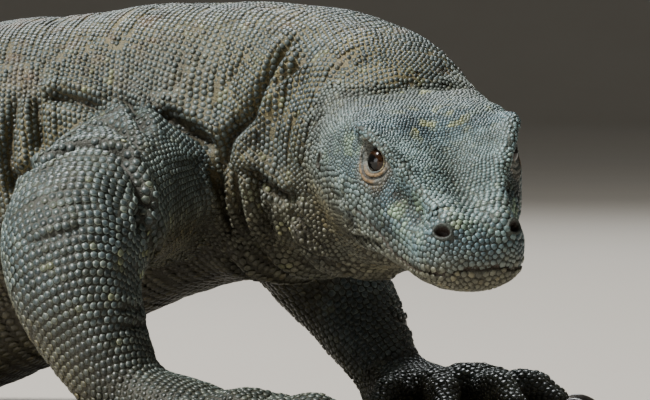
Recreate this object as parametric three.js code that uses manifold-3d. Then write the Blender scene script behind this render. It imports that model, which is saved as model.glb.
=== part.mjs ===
// Komodo dragon (Varanus komodoensis), still life-size model.
// Millimetres, +Z up, +X is the animal's forward direction, +Y its left.
// The animal stands on a level floor at z = 0, with the head turned to its right,
// the right hind leg forward and the rear half of the tail lying on the floor.
import * as THREE from 'three';
import { mergeVertices } from 'three/addons/utils/BufferGeometryUtils.js';
import Module from 'manifold-3d';

const wasm = await Module();
wasm.setup();

// ------------------------------------------------------------------ driving sizes
const HEAD_LENGTH = 182;      // occiput to snout tip
const MOUTH_CORNER = 104;     // distance of the mouth corner behind the snout tip
const EYE_RADIUS = 9.6;       // eyeball
const EYE_AT = [91, 35.6, 33.5];  // eyeball centre: behind the snout tip, to the side, above the mouth line
const CUT = 0.3;              // width of the thin cuts that part the pieces
const FACET_ALLOWANCE = 1.010; // widens each facetted ring so that its flats, not its corners, carry the true size
const CENTRE = [-761.85, -124.633]; // floor point under the middle of the whole animal, in the table frame

// Every body table gives, at each named station, the centre of the section and
// [half width, height above centre, depth below centre, squareness exponent].
const SPINE = [
  { at: 'skull_base', c: [191, -79, 166], r: [46, 44, 66, 2.2] },
  { at: 'nape', c: [166, -54, 180], r: [57, 63, 86, 2.2] },
  { at: 'mid_neck', c: [122, -27, 187], r: [64, 74, 87, 2.2] },
  { at: 'neck_base', c: [62, -8, 185], r: [76, 86, 90, 2.2] },
  { at: 'shoulders', c: [0, 0, 175], r: [90, 95, 88, 2.25] },
  { at: 'fore_ribs', c: [-75, -2, 161], r: [106, 100, 101, 2.3] },
  { at: 'ribs', c: [-160, -14, 148], r: [118, 107, 131, 2.35] },
  { at: 'belly', c: [-265, -40, 142], r: [124, 110, 131, 2.4] },
  { at: 'loin', c: [-375, -74, 146], r: [112, 102, 119, 2.35] },
  { at: 'flank', c: [-470, -112, 153], r: [88, 88, 95, 2.3] },
  { at: 'hips', c: [-545, -148, 156], r: [74, 77, 76, 2.2] },
  { at: 'vent', c: [-610, -184, 150], r: [60, 67, 64, 2.15] },
  { at: 'tail_root', c: [-700, -236, 134], r: [47, 58, 56, 2.1] },
  { at: 'tail_thick', c: [-820, -296, 108], r: [38, 52, 48, 2.1] },
  { at: 'tail_fore', c: [-960, -336, 80], r: [30, 44, 40, 2.1] },
  { at: 'tail_mid', c: [-1110, -334, 54], r: [23, 36, 32, 2.1] },
  { at: 'tail_lower', c: [-1260, -296, 32], r: [17, 27, 24.5, 2.1] },
  { at: 'tail_rest', c: [-1410, -236, 17], r: [12, 19, 17.8, 2.1] },
  { at: 'tail_aft', c: [-1560, -182, 11], r: [8.5, 13, 11.8, 2.1] },
  { at: 'tail_thin', c: [-1700, -152, 7], r: [6, 9, 7.8, 2] },
  { at: 'tail_tip', c: [-1830, -146, 3.9], r: [3, 4.6, 4.7, 2] },
];
const ARM_RIGHT = [
  { at: 'socket', c: [0, -40, 156], r: [50, 52, 54, 2.1] },
  { at: 'deltoid', c: [4, -92, 150], r: [47, 50, 53, 2.15] },
  { at: 'biceps', c: [6, -138, 140], r: [45, 48, 49, 2.2] },
  { at: 'elbow', c: [11, -170, 119], r: [44, 45, 46, 2.2] },
  { at: 'forearm', c: [19, -182, 92], r: [39, 40, 40, 2.2] },
  { at: 'shin', c: [31, -184, 66], r: [33, 34, 33, 2.2] },
  { at: 'wrist', c: [43, -184, 46], r: [29, 29, 28, 2.2] },
  { at: 'palm', c: [53, -184, 30], r: [26, 26, 24, 2.2] },
];
const ARM_LEFT = [
  { at: 'socket', c: [-4, 40, 168], r: [46, 50, 50, 2.1] },
  { at: 'deltoid', c: [0, 96, 150], r: [46, 50, 48, 2.1] },
  { at: 'biceps', c: [3, 138, 122], r: [42, 45, 44, 2.1] },
  { at: 'elbow', c: [13, 160, 93], r: [38, 39, 39, 2.1] },
  { at: 'forearm', c: [30, 162, 69], r: [33, 33, 33, 2.1] },
  { at: 'shin', c: [47, 155, 48], r: [28, 28, 28, 2.1] },
  { at: 'wrist', c: [61, 150, 32], r: [24, 24, 22, 2.1] },
  { at: 'palm', c: [72, 150, 22], r: [22, 20, 18, 2.1] },
];
const LEG_RIGHT = [
  { at: 'hip_in', c: [-530, -170, 144], r: [52, 56, 52, 2.1] },
  { at: 'thigh', c: [-505, -222, 132], r: [52, 58, 52, 2.1] },
  { at: 'thigh_low', c: [-470, -270, 118], r: [44, 48, 44, 2.1] },
  { at: 'knee', c: [-440, -300, 98], r: [38, 38, 38, 2.1] },
  { at: 'calf', c: [-452, -310, 72], r: [34, 38, 34, 2.1] },
  { at: 'shank', c: [-470, -312, 48], r: [26, 28, 26, 2.1] },
  { at: 'ankle', c: [-484, -312, 30], r: [22, 24, 20, 2.1] },
  { at: 'heel', c: [-480, -312, 18], r: [19, 22, 16, 2.1] },
];
const LEG_LEFT = [
  { at: 'hip_in', c: [-575, -120, 144], r: [52, 56, 52, 2.1] },
  { at: 'thigh', c: [-610, -66, 130], r: [50, 56, 50, 2.1] },
  { at: 'thigh_low', c: [-640, -22, 112], r: [42, 46, 42, 2.1] },
  { at: 'knee', c: [-662, 8, 90], r: [36, 36, 36, 2.1] },
  { at: 'calf', c: [-700, 16, 68], r: [33, 36, 33, 2.1] },
  { at: 'shank', c: [-732, 20, 48], r: [25, 27, 25, 2.1] },
  { at: 'ankle', c: [-756, 22, 32], r: [21, 23, 19, 2.1] },
  { at: 'heel', c: [-750, 22, 20], r: [18, 21, 16, 2.1] },
];

// Head: at each distance behind the snout tip, the half section from the crown to the throat:
// crown height, then (side, height) of the crown edge, brow, hollow under the brow, cheek, lip,
// jaw and jaw edge, then the throat height.  Heights are from the mouth line at the snout.
const HEAD = [
  [0, 9, 3, 9, 5, 8, 7, 6, 7, 4, 7, 1.2, 6, -4.5, 4, -8, -9],
  [3, 15, 8, 15, 14, 13, 17, 10, 18, 5.5, 17, -2, 15, -8.5, 9, -12.5, -14],
  [9, 21.5, 12, 21.5, 19, 19, 24, 14, 25.5, 6, 25, -4.5, 21.5, -11.5, 13, -15.5, -17.5],
  [18, 26, 13, 26, 21, 23.5, 28, 16.5, 30.5, 7, 30, -6.5, 25.5, -14, 16, -18.5, -20.5],
  [30, 28, 12, 28.5, 21.5, 26.5, 25.5, 17, 31, 6.5, 32, -9.5, 27, -17, 18, -21.5, -23],
  [45, 30, 13, 31, 23.5, 30, 26, 19, 32, 6, 34, -12, 29, -19.5, 20, -24, -25.5],
  [62, 34.5, 15, 36, 28, 36.5, 31.5, 24, 37, 9, 38, -10, 33.5, -19.5, 23, -26, -28],
  [78, 39.5, 18, 42, 36.5, 44.5, 37, 30, 43, 15.5, 43, -4, 38.5, -18.5, 26, -28, -30.5],
  [92, 43.5, 21, 46, 42.5, 49, 41.5, 33, 48.5, 19, 48, 0.5, 43, -18, 29, -30, -33],
  [106, 46, 24, 48, 46, 48.5, 45.5, 34, 52, 20, 51.5, 1.5, 46, -18, 32, -32, -35.5],
  [122, 48, 25, 49, 44, 46.5, 49, 34, 54.5, 19, 54, 0.5, 49, -19, 35, -34.5, -38],
  [140, 48, 26, 48, 43, 45, 50.5, 33, 57, 17, 57, -2, 52, -21, 37, -38, -42],
  [160, 47, 27, 46.5, 43, 43, 52, 31, 58, 14, 58, -6, 53, -24, 39, -42, -46],
  [182, 46, 27, 45, 43, 41, 52, 28, 57, 10, 57, -10, 52, -28, 39, -46, -50],
  [205, 46, 27, 45, 43, 40, 51, 26, 55, 6, 55, -14, 51, -32, 39, -50, -54],
];
const HEAD_ORIGIN = new THREE.Vector3(...[177.409, -63.532, 175.601]);   // mouth-line point in the occiput plane
const HEAD_FORWARD = new THREE.Vector3(...[0.62198, -0.69419, -0.36226]);
const HEAD_LEFT = new THREE.Vector3(...[0.76045, 0.64582, 0.06808]);
const HEAD_UP = new THREE.Vector3(...[0.18670, -0.31783, 0.92959]);

// A toe: fraction of its length, centre height, half width, above, below, all in toe radii.
const TOE = [
  [-0.1, 1.75, 1.1, 0.9, 1.5],
  [0.15, 2.05, 1.12, 1.05, 1.6],
  [0.4, 2.34, 1.28, 1.4, 1.38],
  [0.55, 2.02, 1.06, 1.12, 1.15],
  [0.71, 2.22, 1.18, 1.32, 1.15],
  [0.86, 1.52, 1, 1.02, 1.08],
  [0.95, 1.14, 0.98, 0.92, 1.22],
  [1, 1.04, 0.74, 0.72, 0.88],
];
// Five toes of a hand and of a foot, innermost first:
// splay toward the body's midline (degrees), root offset toward the midline, length, radius.
const HAND_TOES = [
  [46, 17, 76, 9.2],
  [20, 12, 106, 9.8],
  [2, 3, 120, 10.4],
  [-15, -8, 112, 10.2],
  [-46, -18, 78, 9.2],
];
const FOOT_TOES = [
  [42, 16, 72, 8.6],
  [20, 12, 104, 9.2],
  [3, 3, 126, 9.6],
  [-13, -8, 138, 9.6],
  [-58, -20, 92, 8.8],
];
// A palm or sole: fraction of its length, centre height, half width (in palm widths), height above centre.
const PALM = [
  [-0.40, 23, 0.62, 16], [-0.05, 24, 0.84, 20], [0.35, 22, 1.0, 18.5], [0.75, 19.5, 1.02, 15.5], [1.05, 16, 0.80, 13],
];
// A claw: fraction of its length, centre height and radius, in toe radii.
const CLAW = [
  [0.0, 1.04, 0.62], [0.36, 1.20, 0.54], [0.74, 0.84, 0.32], [1.0, 0.22, 0.10],
];
// cut: height of the thin cut between the shank or forearm and the paw
const PAWS = {
  hand_right: { cut: 57, wrist: [56, -184], heading: 2, side: -1, toes: HAND_TOES, palm: [62, 31, 1.14] },
  hand_left: { cut: 50, wrist: [72, 150], heading: -32, side: 1, toes: HAND_TOES, palm: [62, 30, 0.88] },
  foot_right: { cut: 54, wrist: [-478, -312], heading: -10, side: -1, toes: FOOT_TOES, palm: [66, 31, 0.95] },
  foot_left: { cut: 56, wrist: [-748, 22], heading: 12, side: 1, toes: FOOT_TOES, palm: [66, 31, 0.95] },
};

// ------------------------------------------------------------------ interpolation
// Cubic Hermite through unevenly spaced rows, with finite-difference slopes.
function hermite(ts, rows, t) {
  const n = ts.length;
  let i = 0;
  while (i < n - 2 && t > ts[i + 1]) i++;
  const h = ts[i + 1] - ts[i];
  const u = (t - ts[i]) / h;
  const slope = (k, c) => {
    if (k === 0) return (rows[1][c] - rows[0][c]) / (ts[1] - ts[0]);
    if (k === n - 1) return (rows[n - 1][c] - rows[n - 2][c]) / (ts[n - 1] - ts[n - 2]);
    const h0 = ts[k] - ts[k - 1], h1 = ts[k + 1] - ts[k];
    const d0 = (rows[k][c] - rows[k - 1][c]) / h0, d1 = (rows[k + 1][c] - rows[k][c]) / h1;
    return (d0 * h1 + d1 * h0) / (h0 + h1);
  };
  const u2 = u * u, u3 = u2 * u;
  return rows[i].map((_, c) =>
    (2 * u3 - 3 * u2 + 1) * rows[i][c] + (u3 - 2 * u2 + u) * h * slope(i, c) +
    (-2 * u3 + 3 * u2) * rows[i + 1][c] + (u3 - u2) * h * slope(i + 1, c));
}

// A body tube: sections square to a smooth centre line.
class Tube {
  constructor(stations, up, grow = 0, level = false) {
    this.level = level; // sections stand in upright planes
    this.rows = stations.map((s) => [...s.c, s.r[0] + grow, s.r[1] + grow, s.r[2] + grow, s.r[3]]);
    this.up = new THREE.Vector3(...up).normalize();
    this.ts = [0];
    for (let i = 1; i < this.rows.length; i++) {
      const a = this.rows[i - 1], b = this.rows[i];
      this.ts.push(this.ts[i - 1] + Math.hypot(b[0] - a[0], b[1] - a[1], b[2] - a[2]));
    }
    this.length = this.ts[this.ts.length - 1];
    this.names = stations.map((s) => s.at);
  }
  t(name) { return this.ts[this.names.indexOf(name)]; }
  frame(t) {
    const v = hermite(this.ts, this.rows, t);
    const e = 0.5;
    const a = hermite(this.ts, this.rows, Math.max(0, t - e));
    const b = hermite(this.ts, this.rows, Math.min(this.length, t + e));
    const along = new THREE.Vector3(b[0] - a[0], b[1] - a[1], this.level ? 0 : b[2] - a[2]).normalize();
    const up = this.up.clone().addScaledVector(along, -this.up.dot(along)).normalize();
    const across = new THREE.Vector3().crossVectors(up, along);
    return { v, centre: new THREE.Vector3(v[0], v[1], v[2]), along, up, across };
  }
  ring(t, sides) {
    const { v, centre, up, across } = this.frame(t);
    const pts = [];
    for (let j = 0; j < sides; j++) {
      const th = (j + 0.5) * 2 * Math.PI / sides;
      const c = Math.cos(th), s = Math.sin(th), p = 2 / v[6];
      const cc = Math.sign(c) * Math.pow(Math.abs(c), p) * v[3] * FACET_ALLOWANCE;
      const ss = Math.sign(s) * Math.pow(Math.abs(s), p) * (s >= 0 ? v[4] : v[5]) * FACET_ALLOWANCE;
      pts.push(centre.clone().addScaledVector(across, cc).addScaledVector(up, ss));
    }
    return pts;
  }
}

// ------------------------------------------------------------------ solids
// Closed geometry from rings of points, with a fan over each end.
function loft(rings) {
  const n = rings[0].length, pos = [], idx = [];
  for (const r of rings) for (const p of r) pos.push(p.x, p.y, p.z);
  const mid = (r) => r.reduce((s, p) => s.add(p), new THREE.Vector3()).multiplyScalar(1 / r.length);
  const m0 = mid(rings[0]), m1 = mid(rings[rings.length - 1]);
  pos.push(m0.x, m0.y, m0.z, m1.x, m1.y, m1.z);
  for (let i = 0; i < rings.length - 1; i++) {
    for (let j = 0; j < n; j++) {
      const a = i * n + j, b = i * n + (j + 1) % n, c = (i + 1) * n + (j + 1) % n, d = (i + 1) * n + j;
      idx.push(a, b, c, a, c, d);
    }
  }
  const c0 = rings.length * n, c1 = c0 + 1;
  for (let j = 0; j < n; j++) {
    idx.push(c0, (j + 1) % n, j);
    idx.push(c1, (rings.length - 1) * n + j, (rings.length - 1) * n + (j + 1) % n);
  }
  const g = new THREE.BufferGeometry();
  g.setAttribute('position', new THREE.Float32BufferAttribute(pos, 3));
  g.setIndex(idx);
  return g;
}

function signedVolume(g) {
  const p = g.attributes.position, ix = g.index.array;
  let v = 0;
  const a = new THREE.Vector3(), b = new THREE.Vector3(), c = new THREE.Vector3();
  for (let i = 0; i < ix.length; i += 3) {
    a.fromBufferAttribute(p, ix[i]); b.fromBufferAttribute(p, ix[i + 1]); c.fromBufferAttribute(p, ix[i + 2]);
    v += a.dot(b.cross(c)) / 6;
  }
  return v;
}

function solid(geometry) {
  let g = geometry.clone();
  g.deleteAttribute('normal');
  g.deleteAttribute('uv');
  g = mergeVertices(g, 1e-4);
  const ix = Uint32Array.from(g.index.array);
  if (signedVolume(g) < 0) for (let i = 0; i < ix.length; i += 3) { const t = ix[i]; ix[i] = ix[i + 1]; ix[i + 1] = t; }
  return new wasm.Manifold(new wasm.Mesh({
    numProp: 3, vertProperties: Float32Array.from(g.attributes.position.array), triVerts: ix,
  }));
}

const tubeSolid = (tube, steps, sides, from = 0, to = tube.length) => {
  const rings = [];
  for (let i = 0; i <= steps; i++) rings.push(tube.ring(from + (to - from) * i / steps, sides));
  return solid(loft(rings));
};
const tubeSolidAt = (tube, ts, sides) => solid(loft(ts.map((t) => tube.ring(t, sides))));

// Box with its local Z along a given direction.
function orientedBox(centre, zAxis, xAxis, size) {
  const z = zAxis.clone().normalize();
  const x = xAxis.clone().addScaledVector(z, -xAxis.dot(z)).normalize();
  const y = new THREE.Vector3().crossVectors(z, x);
  const g = new THREE.BoxGeometry(...size);
  g.applyMatrix4(new THREE.Matrix4().makeBasis(x, y, z).setPosition(centre));
  return solid(g);
}

// The separate bodies of a solid, largest first, without crumbs.
const bodies = (m) => m.decompose().filter((b) => b.volume() > 60).sort((a, b) => b.volume() - a.volume());

const FLOOR = solid(new THREE.BoxGeometry(4000, 3000, 80).translate(-600, 0, -40));

// ------------------------------------------------------------------ head
const headRows = HEAD.map((r) => r.slice(1));
const headS = HEAD.map((r) => r[0]);
function headSection(s) {
  const v = hermite(headS, headRows, s);
  const y = [0, v[1], v[3], v[5], v[7], v[9], v[11], v[13], 0];
  const z = [v[0], v[2], v[4], v[6], v[8], v[10], v[12], v[14], v[15]];
  return { y, z };
}
// Catmull-Rom across the half section: q runs 0 (crown) to 8 (throat).
function headPoint(s, q, left) {
  const { y, z } = headSection(s);
  const ye = [-y[1], ...y, -y[7]], ze = [z[1], ...z, z[7]];
  const i = Math.min(7, Math.floor(q)), u = q - i;
  const cr = (e) => 0.5 * (2 * e[i + 1] + (e[i + 2] - e[i]) * u +
    (2 * e[i] - 5 * e[i + 1] + 4 * e[i + 2] - e[i + 3]) * u * u +
    (-e[i] + 3 * e[i + 1] - 3 * e[i + 2] + e[i + 3]) * u * u * u);
  return headAt(s, cr(ye) * (left ? 1 : -1) * FACET_ALLOWANCE, cr(ze));
}
function headAt(s, side, height) {
  return HEAD_ORIGIN.clone().addScaledVector(HEAD_FORWARD, HEAD_LENGTH - s)
    .addScaledVector(HEAD_LEFT, side).addScaledVector(HEAD_UP, height);
}
const HEAD_STEPS = [0.4, 2, 5, 10, 18, 30, 45, 62, 78, 92, 106, 124, 144, 166, 203];
const HEAD_Q = [0, 0.8, 1.5, 2.1, 2.9, 3.5, 4.2, 4.8, 5.4, 6.2, 7.1, 8];
const headRings = HEAD_STEPS.map((s) => {
  const ring = HEAD_Q.map((q) => headPoint(s, q, true));
  for (let k = HEAD_Q.length - 2; k > 0; k--) ring.push(headPoint(s, HEAD_Q[k], false));
  return ring;
});
const headSolid = solid(loft(headRings));

// Region of the lower jaw: below the mouth line and in front of a slanting cut behind the mouth corner.
function jawRegion(gap) {
  const shape = new THREE.Shape();
  const lip = (s) => hermite(headS, headRows, Math.min(s, 200))[10];
  const g = gap / 2;
  shape.moveTo(-12, lip(0) - g);
  for (let s = 0; s <= MOUTH_CORNER; s += 8) shape.lineTo(s, lip(s) - g);
  shape.lineTo(MOUTH_CORNER + 4, lip(MOUTH_CORNER) - 3 - g);
  shape.lineTo(MOUTH_CORNER + 40 - g, -60);
  shape.lineTo(-12, -60);
  shape.closePath();
  const geo = new THREE.ExtrudeGeometry(shape, { depth: 180, bevelEnabled: false });
  // shape x = distance behind the snout tip, shape y = height, extrusion = across
  const m = new THREE.Matrix4().makeBasis(
    HEAD_FORWARD.clone().negate(), HEAD_UP, HEAD_LEFT).setPosition(headAt(0, -90, 0));
  geo.applyMatrix4(m);
  return solid(geo);
}

// ------------------------------------------------------------------ body axis
const spine = new Tube(SPINE, [0, 0, 1]);
const SPINE_SIDES = 18;
const spineRings = [];
for (let i = 0; i < spine.ts.length - 1; i++) {
  const n = i < 13 ? 2 : 1;
  for (let k = 0; k < n; k++) spineRings.push(spine.ts[i] + (spine.ts[i + 1] - spine.ts[i]) * k / n);
}
spineRings.push(spine.length);
const axisSolid = tubeSolidAt(spine, spineRings, SPINE_SIDES).add(headSolid).subtract(FLOOR);
// the same axis, a cut's width larger, that the limbs are parted with
const spineGrown = new Tube(SPINE, [0, 0, 1], CUT);
const axisGrown = tubeSolidAt(spineGrown, spineRings, SPINE_SIDES);

// Eyes and their sockets
const eyes = {};
let axisCut = axisSolid;
for (const [name, sgn] of [['eye_left', 1], ['eye_right', -1]]) {
  const c = headAt(EYE_AT[0], sgn * EYE_AT[1], EYE_AT[2]);
  const ball = (r) => solid(new THREE.SphereGeometry(r, 10, 7).translate(c.x, c.y, c.z));
  eyes[name] = ball(EYE_RADIUS);
  axisCut = axisCut.subtract(ball(EYE_RADIUS + CUT));
}

// Thin cuts square to the spine between its named lengths
const slab = (tube, t, size = 360) => {
  const f = tube.frame(t);
  return orientedBox(f.centre, f.along, f.up, [size, size, CUT]);
};
const headBack = orientedBox(headAt(HEAD_LENGTH - 6, 0, 0), HEAD_FORWARD, HEAD_UP, [260, 260, CUT]);
const cuts = ['neck_base', 'fore_ribs', 'loin', 'vent', 'tail_thick', 'tail_mid', 'tail_rest', 'tail_thin'];
axisCut = axisCut.subtract(headBack);
for (const name of cuts) {
  const size = { neck_base: 330, fore_ribs: 400, loin: 400, vent: 300 }[name] || 160;
  const t = name === 'fore_ribs' ? (spine.t('fore_ribs') + spine.t('ribs')) / 2 : spine.t(name);
  axisCut = axisCut.subtract(slab(spine, t, size));
}
const axisNames = ['neck', 'chest', 'trunk', 'pelvis', 'tail_1', 'tail_2', 'tail_3', 'tail_4', 'tail_5'];
const axisParts = {};
const boxCentre = (m) => { const b = m.boundingBox(); return [0, 1, 2].map((k) => (b.min[k] + b.max[k]) / 2); };
{
  const found = bodies(axisCut);
  // order along the spine by the nearest centre-line point
  const where = (m) => {
    const c = boxCentre(m);
    let best = 0, bd = 1e9;
    for (let t = 0; t <= spine.length; t += 10) {
      const v = hermite(spine.ts, spine.rows, t);
      const d = Math.hypot(v[0] - c[0], v[1] - c[1], v[2] - c[2]);
      if (d < bd) { bd = d; best = t; }
    }
    return best;
  };
  const headFront = headAt(60, 0, 10);
  const isHead = (m) => { const b = m.boundingBox(); return b.min[0] < headFront.x && b.max[0] > headFront.x && b.min[1] < headFront.y && b.max[1] > headFront.y; };
  const heads = found.filter(isHead);
  const rest = found.filter((m) => !isHead(m)).sort((a, b) => where(a) - where(b));
  if (heads.length !== 1 || rest.length !== axisNames.length) throw new Error(`axis cut into ${heads.length} + ${rest.length} pieces`);
  const jaw = jawRegion(CUT);
  const jawOut = jawRegion(-CUT);
  axisParts.head = bodies(heads[0].subtract(jawOut))[0];
  axisParts.lower_jaw = bodies(heads[0].intersect(jaw))[0];
  axisNames.forEach((n, i) => { axisParts[n] = rest[i]; });
}

// ------------------------------------------------------------------ limbs
function paw({ wrist, heading, side, toes, palm }) {
  const h = heading * Math.PI / 180;
  const fwd = new THREE.Vector3(Math.cos(h), Math.sin(h), 0);
  const mid = new THREE.Vector3(-Math.sin(h), Math.cos(h), 0).multiplyScalar(-side);
  const w = new THREE.Vector3(wrist[0], wrist[1], 0);
  const [pl, pw, ph] = palm;
  const palmTube = new Tube(PALM.map(([q, z, pwq, u]) => {
    const c = w.clone().addScaledVector(fwd, pl * q);
    return { at: '', c: [c.x, c.y, z * ph], r: [pw * pwq, u * ph, z * ph + 0.8, 2.3] };
  }), [0, 0, 1]);
  let flesh = tubeSolidAt(palmTube, palmTube.ts, 10);
  const claws = [];
  toes.forEach(([splay, offset, length, r]) => {
    const a = splay * Math.PI / 180;
    const dir = fwd.clone().multiplyScalar(Math.cos(a)).addScaledVector(mid, Math.sin(a));
    const out = mid.clone().multiplyScalar(Math.cos(a)).addScaledVector(fwd, -Math.sin(a));
    const root = w.clone().addScaledVector(fwd, pl * 0.55).addScaledVector(mid, offset);
    const toe = new Tube(TOE.map(([q, z, tw, tu, td]) => {
      const bend = 0.05 * length * Math.sin(Math.PI * Math.max(q, 0)) * (offset < 0 ? 1 : -1);
      const c = root.clone().addScaledVector(dir, length * q).addScaledVector(out, bend);
      return { at: '', c: [c.x, c.y, r * z], r: [r * tw, r * tu, r * td, 2.1] };
    }), [0, 0, 1], 0, true);
    flesh = flesh.add(tubeSolidAt(toe, toe.ts.filter((_, i) => i !== 1 && i !== 6), 6));
    const end = toe.frame(toe.length);
    const claw = new Tube(CLAW.map(([q, z, cr]) => {
      const c = end.centre.clone().addScaledVector(end.along, CUT + r * 2.7 * q);
      return { at: '', c: [c.x, c.y, r * z], r: [r * cr * 0.75, r * cr, r * cr, 2.0] };
    }), [0, 0, 1], 0, true);
    claws.push(tubeSolidAt(claw, claw.ts, 5));
  });
  return { flesh, claws };
}

function limb(name, stations, ref, parts, pawSpec) {
  const tube = new Tube(stations, ref);
  // the limb bends at its fourth station, so it is a tube above it, a tube below it and a rounded joint
  const JOINT = 3;
    const above = new Tube(stations.slice(0, JOINT + 1), ref);
  const below = new Tube(stations.slice(JOINT), ref);
  const j = stations[JOINT];
  const knob = solid(new THREE.SphereGeometry(1, 9, 6).scale(j.r[0] * 0.99, j.r[0] * 0.99, j.r[1] * 0.99).translate(...j.c));
  const body = tubeSolidAt(above, above.ts, 11).add(tubeSolidAt(below, below.ts, 11)).add(knob);
  const { flesh, claws } = paw(pawSpec);
  let all = body.add(flesh).subtract(FLOOR);
  all = bodies(all.subtract(axisGrown))[0];
  // the upper cut halves the angle of the bend
  const bend = above.frame(above.length).along.add(below.frame(0).along).normalize();
  const bendAt = new THREE.Vector3(...j.c).addScaledVector(bend, 6);
  let tLow = tube.length;
  while (hermite(tube.ts, tube.rows, tLow)[2] < pawSpec.cut) tLow -= 1;
  const low = tube.frame(tLow);
  all = all.subtract(orientedBox(bendAt, bend, tube.up, [150, 150, CUT]));
  const lowNormal = low.along.clone().add(new THREE.Vector3(0, 0, -1)).normalize();
  all = all.subtract(orientedBox(low.centre, lowNormal, low.up, [88, 88, CUT]));
  const found = bodies(all).slice(0, 3);
  if (found.length !== 3) throw new Error(`${name} cut into ${found.length} pieces `);
  const height = (m) => m.boundingBox().max[2];
  found.sort((a, b) => height(b) - height(a));
  const out = {};
  parts.forEach((p, i) => { out[p] = found[i]; });
  claws.forEach((c, i) => { out[`claw_${name}_${i + 1}`] = c; });
  return out;
}

const limbs = {
  ...limb('hand_right', ARM_RIGHT, [1, 0, 0.15], ['upper_arm_right', 'forearm_right', 'hand_right'], PAWS.hand_right),
  ...limb('hand_left', ARM_LEFT, [1, 0, 0.3], ['upper_arm_left', 'forearm_left', 'hand_left'], PAWS.hand_left),
  ...limb('foot_right', LEG_RIGHT, [0, -1, 0.4], ['thigh_right', 'shank_right', 'foot_right'], PAWS.foot_right),
  ...limb('foot_left', LEG_LEFT, [0, 1, 0.4], ['thigh_left', 'shank_left', 'foot_left'], PAWS.foot_left),
};

// ------------------------------------------------------------------ scene graph
const hide = (c) => new THREE.MeshStandardMaterial({ color: c, roughness: 0.62, metalness: 0 });
const MATERIALS = {
  head: () => hide(0x5c6a70), lower_jaw: () => hide(0x6a7068), neck: () => hide(0x585e58), chest: () => hide(0x565c58),
  trunk: () => hide(0x54584f), pelvis: () => hide(0x53564c),
  eye: () => new THREE.MeshStandardMaterial({ color: 0x1c130c, roughness: 0.08, metalness: 0 }),
  claw: () => new THREE.MeshStandardMaterial({ color: 0x2a2622, roughness: 0.35, metalness: 0 }),
};
function materialFor(name) {
  if (MATERIALS[name]) return MATERIALS[name]();
  if (name.startsWith('eye')) return MATERIALS.eye();
  if (name.startsWith('claw')) return MATERIALS.claw();
  if (name.startsWith('tail')) return hide(0x4c4d45);
  if (name.startsWith('hand') || name.startsWith('foot')) return hide(0x50585c);
  return hide(0x555f63);
}

const group = new THREE.Group();
function place(name, m) {
  const mesh = m.getMesh();
  const g = new THREE.BufferGeometry();
  const pos = new Float32Array(mesh.vertProperties.length / mesh.numProp * 3);
  for (let i = 0; i < pos.length / 3; i++) for (let k = 0; k < 3; k++) pos[i * 3 + k] = mesh.vertProperties[i * mesh.numProp + k];
  g.setAttribute('position', new THREE.BufferAttribute(pos, 3));
  g.setIndex(new THREE.BufferAttribute(new Uint32Array(mesh.triVerts), 1));
  const obj = new THREE.Mesh(g, materialFor(name));
  obj.name = name;
  obj.position.set(-CENTRE[0], -CENTRE[1], 0);
  group.add(obj);
}
for (const [n, m] of Object.entries(axisParts)) place(n, m);
for (const [n, m] of Object.entries(eyes)) place(n, m);
for (const [n, m] of Object.entries(limbs)) place(n, m);

export default group;
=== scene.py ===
import bpy, bmesh, math
import numpy as np
from mathutils import Matrix, Vector
from mathutils.bvhtree import BVHTree
from mathutils.kdtree import KDTree


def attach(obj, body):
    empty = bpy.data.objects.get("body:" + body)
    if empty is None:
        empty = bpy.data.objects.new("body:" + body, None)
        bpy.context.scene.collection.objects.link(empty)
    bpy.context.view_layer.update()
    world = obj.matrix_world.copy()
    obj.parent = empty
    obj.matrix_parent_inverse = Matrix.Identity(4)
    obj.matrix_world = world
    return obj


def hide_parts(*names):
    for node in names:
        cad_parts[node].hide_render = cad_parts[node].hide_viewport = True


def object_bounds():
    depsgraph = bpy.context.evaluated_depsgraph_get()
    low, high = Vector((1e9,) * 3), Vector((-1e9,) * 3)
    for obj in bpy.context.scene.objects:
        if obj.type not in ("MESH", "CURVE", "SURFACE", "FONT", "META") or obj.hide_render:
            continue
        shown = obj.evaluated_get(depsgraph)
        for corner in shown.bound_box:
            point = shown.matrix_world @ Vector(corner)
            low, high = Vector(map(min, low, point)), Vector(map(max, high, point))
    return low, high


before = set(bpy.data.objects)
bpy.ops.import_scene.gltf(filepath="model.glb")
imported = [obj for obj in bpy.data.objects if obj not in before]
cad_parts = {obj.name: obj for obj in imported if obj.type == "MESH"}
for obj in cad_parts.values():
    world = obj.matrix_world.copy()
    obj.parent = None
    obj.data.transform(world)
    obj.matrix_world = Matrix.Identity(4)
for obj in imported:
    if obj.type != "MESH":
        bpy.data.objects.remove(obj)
CAD_BOX = [[float(c) for c in p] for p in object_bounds()]
RNG = np.random.default_rng(11)

# ---------------------------------------------------------------- dimensions, in millimetres
# The tables are about the chest's centre; CENTRE moves them to the model's own frame, whose origin is on the floor.
CENTRE = np.array([761.85, 124.633, 0.0])
COAT = 1.3            # height of a body scale over the skin
COAT_HEAD = 0.75      # height of a head scale over the skin
EYE_RADIUS = 9.6
EYE_AT = (91.0, 35.6, 33.5)        # behind the snout tip, out from the middle, above the mouth line
HEAD_LENGTH = 182.0

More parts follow.
